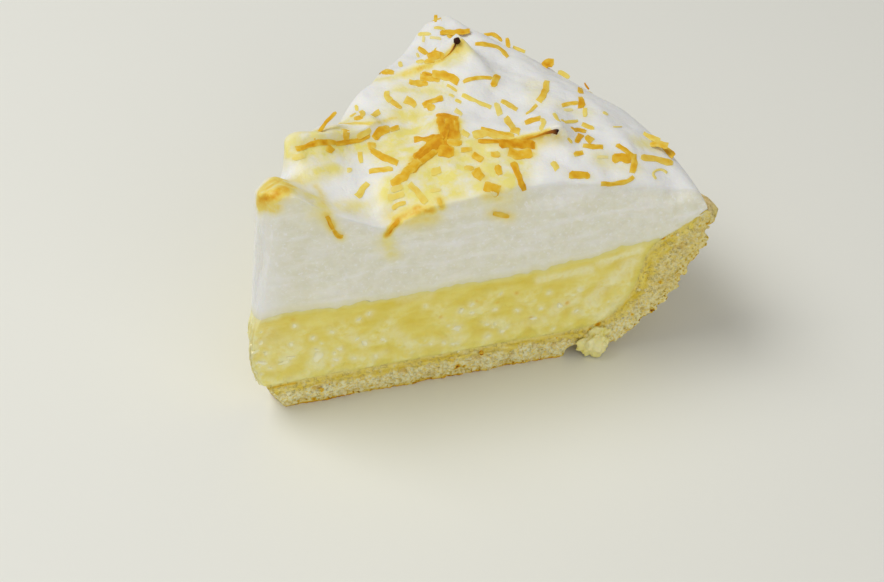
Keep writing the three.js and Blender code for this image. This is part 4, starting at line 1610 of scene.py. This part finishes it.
# Painted light: the cut is whitened towards the crushed point, which faces the lamp.
point_painted_light = ramp_of(tree, across["X"], PAINTED_LIGHT_FROM * MM, PAINTED_LIGHT_FULL_AT * MM, 0, 0.8)
torn = mix_colours(tree, point_painted_light, torn, colour(0.95, 0.95, 0.94))
raw = mix_colours(tree, cut, skin, torn)
raw = mix_colours(tree, ramp_of(tree, up, 0, 0.09, 0.6, 0), raw, colour(0.88, 0.81, 0.42))
print("the meringue is whitest", -PAINTED_LIGHT_FULL_AT, "mm in front of the middle")

# %% Stain and toast the meringue
stain = ramp_of(tree, attribute(tree, "stain"), 0, 0.5)
stained = maths(tree, "MULTIPLY", stain, patch_mask(tree, place, 3.5, 0.8, 2.6))
raw = mix_colours(tree, stained, raw, colour(0.88, 0.78, 0.22))
toast = maths(tree, "MULTIPLY", attribute(tree, "toast"), patch_mask(tree, place, 1.8, 0.85, 1.2))
tint = browned_tint(tree, raw, toast)
dress(meringue, tree, tint, size=2.4, pit_size=1.3, pits=0.2, depth=0.2)

# %% [markdown]
# ## The filling's finish
#
# The gel is moist and lets light in deeper than the foam does. Its yellow is clear and warm:
# paler in lumps near the bottom, more golden towards the top, with a thin pale line under the
# meringue. The knife drew its colours out along the cut. Hollows in the cut are painted a
# darker gold as painted shade, and the paler mottling is laid on what stands out, partly as
# painted light. A few tiny orange specks are zest.

# %% Dress the filling
tree, place = start_material("lemon_gel", roughness=0.34, gloss=0.42, soft=0.3, soft_depth=2.5)
up = attribute(tree, "up")
dragged_place = attribute(tree, "drag", "Vector")
gel = mix_colours(tree, up, colour(0.88, 0.76, 0.15), colour(0.82, 0.655, 0.065))
streaks = patch_mask(tree, dragged_place, 3, 0.42, 2.8)
gel = mix_colours(tree, streaks, gel, colour(0.9, 0.79, 0.2))
depth = attribute(tree, "depth")
# Painted shade: the gel is a darker gold where the cut's relief is sunk in.
gel = mix_colours(tree, ramp_of(tree, depth, 0.15, -0.4, 0, 0.5), gel, colour(0.83, 0.65, 0.07))
# Pale mottling on what stands out: partly pale lumps in the gel, partly painted light.
painted_light_where_raised = ramp_of(tree, depth, 0.1, 0.8, 0, 0.9)
pale_lumps_and_painted_light = maths(tree, "MULTIPLY", patch_mask(tree, place, 1.6, 0.6, 3), painted_light_where_raised)
pale_lumps_and_painted_light = maths(tree, "MULTIPLY", pale_lumps_and_painted_light, ramp_of(tree, up, 0.55, 0.9, 1, 0.35))
gel = mix_colours(tree, pale_lumps_and_painted_light, gel, colour(0.95, 0.9, 0.46))
gel = mix_colours(tree, ramp_of(tree, up, 0.93, 1, 0, 0.7), gel, colour(0.9, 0.84, 0.38))
pale = maths(tree, "MULTIPLY", attribute(tree, "pale"), patch_mask(tree, place, 1.2, 0.9, 2))
gel = mix_colours(tree, pale, gel, colour(0.97, 0.92, 0.56))
gel = mix_colours(tree, attribute(tree, "zest"), gel, colour(0.8, 0.5, 0.03))
dress(filling, tree, gel, size=1.7, pit_size=2.2, pits=0.3, depth=0.28)

# %% Dress the flecks
tree, place = start_material("soaked_coconut", roughness=0.35, gloss=0.5, soft=0, soft_depth=1)
soak = patch_mask(tree, place, 3, 0.5, 2.5)
tint = mix_colours(tree, soak, colour(0.99, 0.96, 0.68), colour(0.96, 0.9, 0.46))
dress(flecks, tree, tint, size=0.6, pit_size=0.8, pits=0.2, depth=0.05)

# %% [markdown]
# ## The pastry's finish
#
# Short pastry is dull and full of small holes. On the cut its crumb is pale in the base, and
# more golden up the side, where dark patches are painted as the shade in its holes. Hollows in
# the relief get painted shade too, and where the base is undercut they are measured from there.

# %% Mix the pastry's crumb
GOLDEN_FROM = 8
GOLDEN_AT = 20

tree, place = start_material("short_pastry", roughness=0.85, gloss=0.1, soft=0.1, soft_depth=1.2)
cut = attribute(tree, "cut")
up = attribute(tree, "up")
crumb_mask = patch_mask(tree, place, 0.8, 0.6, 5)
crumb = mix_colours(tree, crumb_mask, colour(0.94, 0.75, 0.21), colour(1, 0.96, 0.61))
across = add_node(tree, "SeparateXYZ", {"Vector": place}).outputs
golden = ramp_of(tree, across["Z"], GOLDEN_FROM * MM, GOLDEN_AT * MM, 0, 0.45)
crumb = mix_colours(tree, golden, crumb, colour(0.82, 0.64, 0.16))
# Painted shade: dark patches up the side stand for shade in the pastry's holes.
pits = maths(tree, "MULTIPLY", patch_mask(tree, place, 1.5, 0, 5), golden)
crumb = mix_colours(tree, pits, crumb, colour(0.5, 0.31, 0.02))
# Painted shade in the relief's hollows, measured from the undercut surface at the foot.
undercut = ramp_of(tree, across["Z"], 0, UNDERCUT_HEIGHT * MM, UNDERCUT, 0)
depth = maths(tree, "ADD", attribute(tree, "depth"), undercut, clamped=False)
painted_shade_in_hollows = ramp_of(tree, depth, -0.2, -0.6, 0, 0.8)
crumb = mix_colours(tree, painted_shade_in_hollows, crumb, colour(0.72, 0.49, 0.08))
print("the crumb turns golden between", GOLDEN_FROM, "and", GOLDEN_AT, "mm up")

# %% [markdown]
# Where the filling soaked in, the cut has a darker, doughy band in thin layers. They follow the
# crust's inside, because they are read from how far up each corner was in the block, and the
# band's lower edge wavers. A thin yellow line of gel lies on top of it.

# %% Add the doughy band
DOUGH_STRETCH = 14
LAYER_SIZE = 1.6

along_wall = maths(tree, "ADD", across["X"], across["Z"], clamped=False)
along_wall = maths(tree, "MULTIPLY", along_wall, STRETCH_ALONG, clamped=False)
layers = maths(tree, "MULTIPLY", up, DOUGH_STRETCH * MM, clamped=False)
layers = add_node(tree, "CombineXYZ", {"X": layers, "Y": along_wall}).outputs["Vector"]
wavering = ramp_of(tree, patch_mask(tree, place, 3, 0.5, 2), 0, 1, -0.14, 0.14)
wavering = maths(tree, "ADD", wavering, up, clamped=False)
ragged = patch_mask(tree, place, 2.4, 0.9, 2.4)
band = maths(tree, "MULTIPLY", ramp_of(tree, wavering, 0.58, 0.7), ragged)
layer_mask = patch_mask(tree, layers, LAYER_SIZE, 0.5, 4)
dough = mix_colours(tree, layer_mask, colour(0.78, 0.57, 0.05), colour(0.95, 0.78, 0.17))
crumb = mix_colours(tree, band, crumb, dough)
crumb = mix_colours(tree, ramp_of(tree, up, 0.88, 1, 0, 0.8), crumb, colour(0.92, 0.8, 0.28))
layer_thickness = LAYER_SIZE * BASE_THICKNESS / DOUGH_STRETCH
print("the dough's layers are about", round(layer_thickness, 1), "mm thick")

# %% [markdown]
# The outside of the wall was against the dish, and baked to a deeper, evener gold. Brown specks
# crowd near the underside, and a thin brown line runs along the bottom of the cut, broken in
# places. All of it goes through the browning group, with the scorched places on top.

# %% Bake the pastry
LINE_FROM = 3
LINE_AT = 1.5

baked = mix_colours(tree, crumb_mask, colour(0.78, 0.57, 0.21), colour(0.9, 0.71, 0.35))
raw = mix_colours(tree, cut, baked, crumb)
under = ramp_of(tree, up, 0.02, 0.3, 1, 0.1)
specks = maths(tree, "MULTIPLY", patch_mask(tree, place, 0.9, 0.06, 4.5), under)
specks = maths(tree, "MULTIPLY", specks, ramp_of(tree, cut, 0, 1, 0.25, 1))
baking = maths(tree, "SUBTRACT", ramp_of(tree, up, 0, 0.5, 0.28, 0), cut)
baking = maths(tree, "MULTIPLY", baking, patch_mask(tree, place, 12, 0.6, 1.5))
specks = maths(tree, "MAXIMUM", specks, baking)
bottom_line = maths(tree, "MULTIPLY", ramp_of(tree, up, 0, 0.09, 0.86, 0), cut)
bottom_line = maths(tree, "MULTIPLY", bottom_line, patch_mask(tree, place, 3.5, 0.75, 2.5))
low_down = ramp_of(tree, across["Z"], LINE_AT * MM, LINE_FROM * MM, 1, 0)
bottom_line = maths(tree, "MULTIPLY", bottom_line, low_down)
specks = maths(tree, "MAXIMUM", specks, bottom_line)
specks = maths(tree, "MAXIMUM", specks, attribute(tree, "scorch"))
tint = browned_tint(tree, raw, specks)
dress(crust, tree, tint, size=0.7, pit_size=0.9, pits=0.7, depth=0.55)

# %% Dress the crumbs
tree, place = start_material("pastry_crumb", roughness=0.85, gloss=0.2, soft=0, soft_depth=1)
crumb_mask = patch_mask(tree, place, 2.5, 0.5, 3)
raw = mix_colours(tree, crumb_mask, colour(0.8, 0.66, 0.28), colour(0.92, 0.84, 0.5))
tint = browned_tint(tree, raw, patch_mask(tree, place, 4, -0.1, 4))
dress(crumbs, tree, tint, size=0.5, pit_size=0.7, pits=0.4, depth=0.2)

# %% [markdown]
# ## The coconut's finish
#
# Each flake carries its own toast value. Along it the colour wanders between gold and orange.
# The flakes are thin and dry, so light goes some way through them.

# %% Dress the coconut
DARKEST_FLAKE = 0.7

tree, place = start_material("toasted_coconut", roughness=0.55, gloss=0.12, soft=0.06, soft_depth=0.5)
wander = ramp_of(tree, patch_mask(tree, place, 2, 0.5, 2), 0, 1, 0.86, 1.14)
toast = maths(tree, "MULTIPLY", attribute(tree, "toast"), wander)
toast = maths(tree, "MINIMUM", toast, DARKEST_FLAKE)
tint = browned_tint(tree, colour(0.9, 0.84, 0.5), toast)
dress(coconut, tree, tint, size=0.8, pit_size=1, pits=0.25, depth=0.06)

# %% Dress the burnt tips
tree, _ = start_material("burnt_sugar", roughness=0.7, gloss=0.1, soft=0, soft_depth=0.5)
burnt = ramp_of(tree, attribute(tree, "toast"), 0, 0.9, 0.5, 1)
tint = browned_tint(tree, colour(0.9, 0.8, 0.5), burnt)
dress(burnt_tips, tree, tint, size=0.5, pit_size=0.7, pits=0.3, depth=0.1)

# %% [markdown]
# ## Floor and light
#
# The slice stands on a plain pale floor. A large soft lamp stands high behind it on the left,
# so the top is bright and the near cut lies in soft shade, and the pale surroundings fill in
# the rest. The plain view keeps the colours as they are mixed here.

# %% Lay the floor
FLOOR_HALF_WIDTH = 1.5

floor_shape = bmesh.new()
bmesh.ops.create_grid(floor_shape, x_segments=1, y_segments=1, size=FLOOR_HALF_WIDTH)
floor_mesh = bpy.data.meshes.new("floor")
floor_shape.to_mesh(floor_mesh)
floor_shape.free()
floor = bpy.data.objects.new("floor", floor_mesh)
bpy.context.scene.collection.objects.link(floor)
floor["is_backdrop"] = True
tree, place = start_material("pale_floor", roughness=0.5, gloss=0.3, soft=0, soft_depth=1)
clouds = patch_mask(tree, place, 90, 0.5, 1)
tint = mix_colours(tree, clouds, colour(0.84, 0.84, 0.775), colour(0.85, 0.85, 0.785))
dress(floor, tree, tint, size=3, pit_size=5, pits=0, depth=0.02)

# %% Set the light
SKY_STRENGTH = 0.35


def soft_lamp(name, place, power, size):
    """A square area lamp that points at the slice."""
    lamp = bpy.data.lights.new(name, "AREA")
    lamp.energy = power
    lamp.size = size
    lamp_object = bpy.data.objects.new(name, lamp)
    lamp_object.location = place
    lamp_object.rotation_mode = "QUATERNION"
    lamp_object.rotation_quaternion = (-Vector(place)).to_track_quat("-Z", "Y")
    bpy.context.scene.collection.objects.link(lamp_object)


soft_lamp("key_lamp", (-0.33, 0.43, 0.95), power=6.3, size=0.6)
soft_lamp("fill_lamp", (-0.25, -0.95, 0.45), power=2.95, size=1)

surroundings = bpy.data.worlds.new("surroundings")
surroundings.use_nodes = True
sky = surroundings.node_tree.nodes["Background"]
sky.inputs["Color"].default_value = colour(1, 0.985, 0.96)
sky.inputs["Strength"].default_value = SKY_STRENGTH
bpy.context.scene.world = surroundings
bpy.context.scene.view_settings.view_transform = "Standard"
print(len(bpy.data.lights), "lamps and a sky of strength", SKY_STRENGTH)

# %% [markdown]
# ## Sizes
#
# Both boxes, the measured slice's and the finished one's, are printed. The finished
# slice must not outgrow the measured one.

# %% Print both sizes and finish
shown_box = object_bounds()
boxes = {
    "measured": [list(corner) for corner in measured_box],
    "shown": [list(corner) for corner in shown_box],
}
for label, box in boxes.items():
    print(label, [round(value / MM, 1) for corner in box for value in corner])
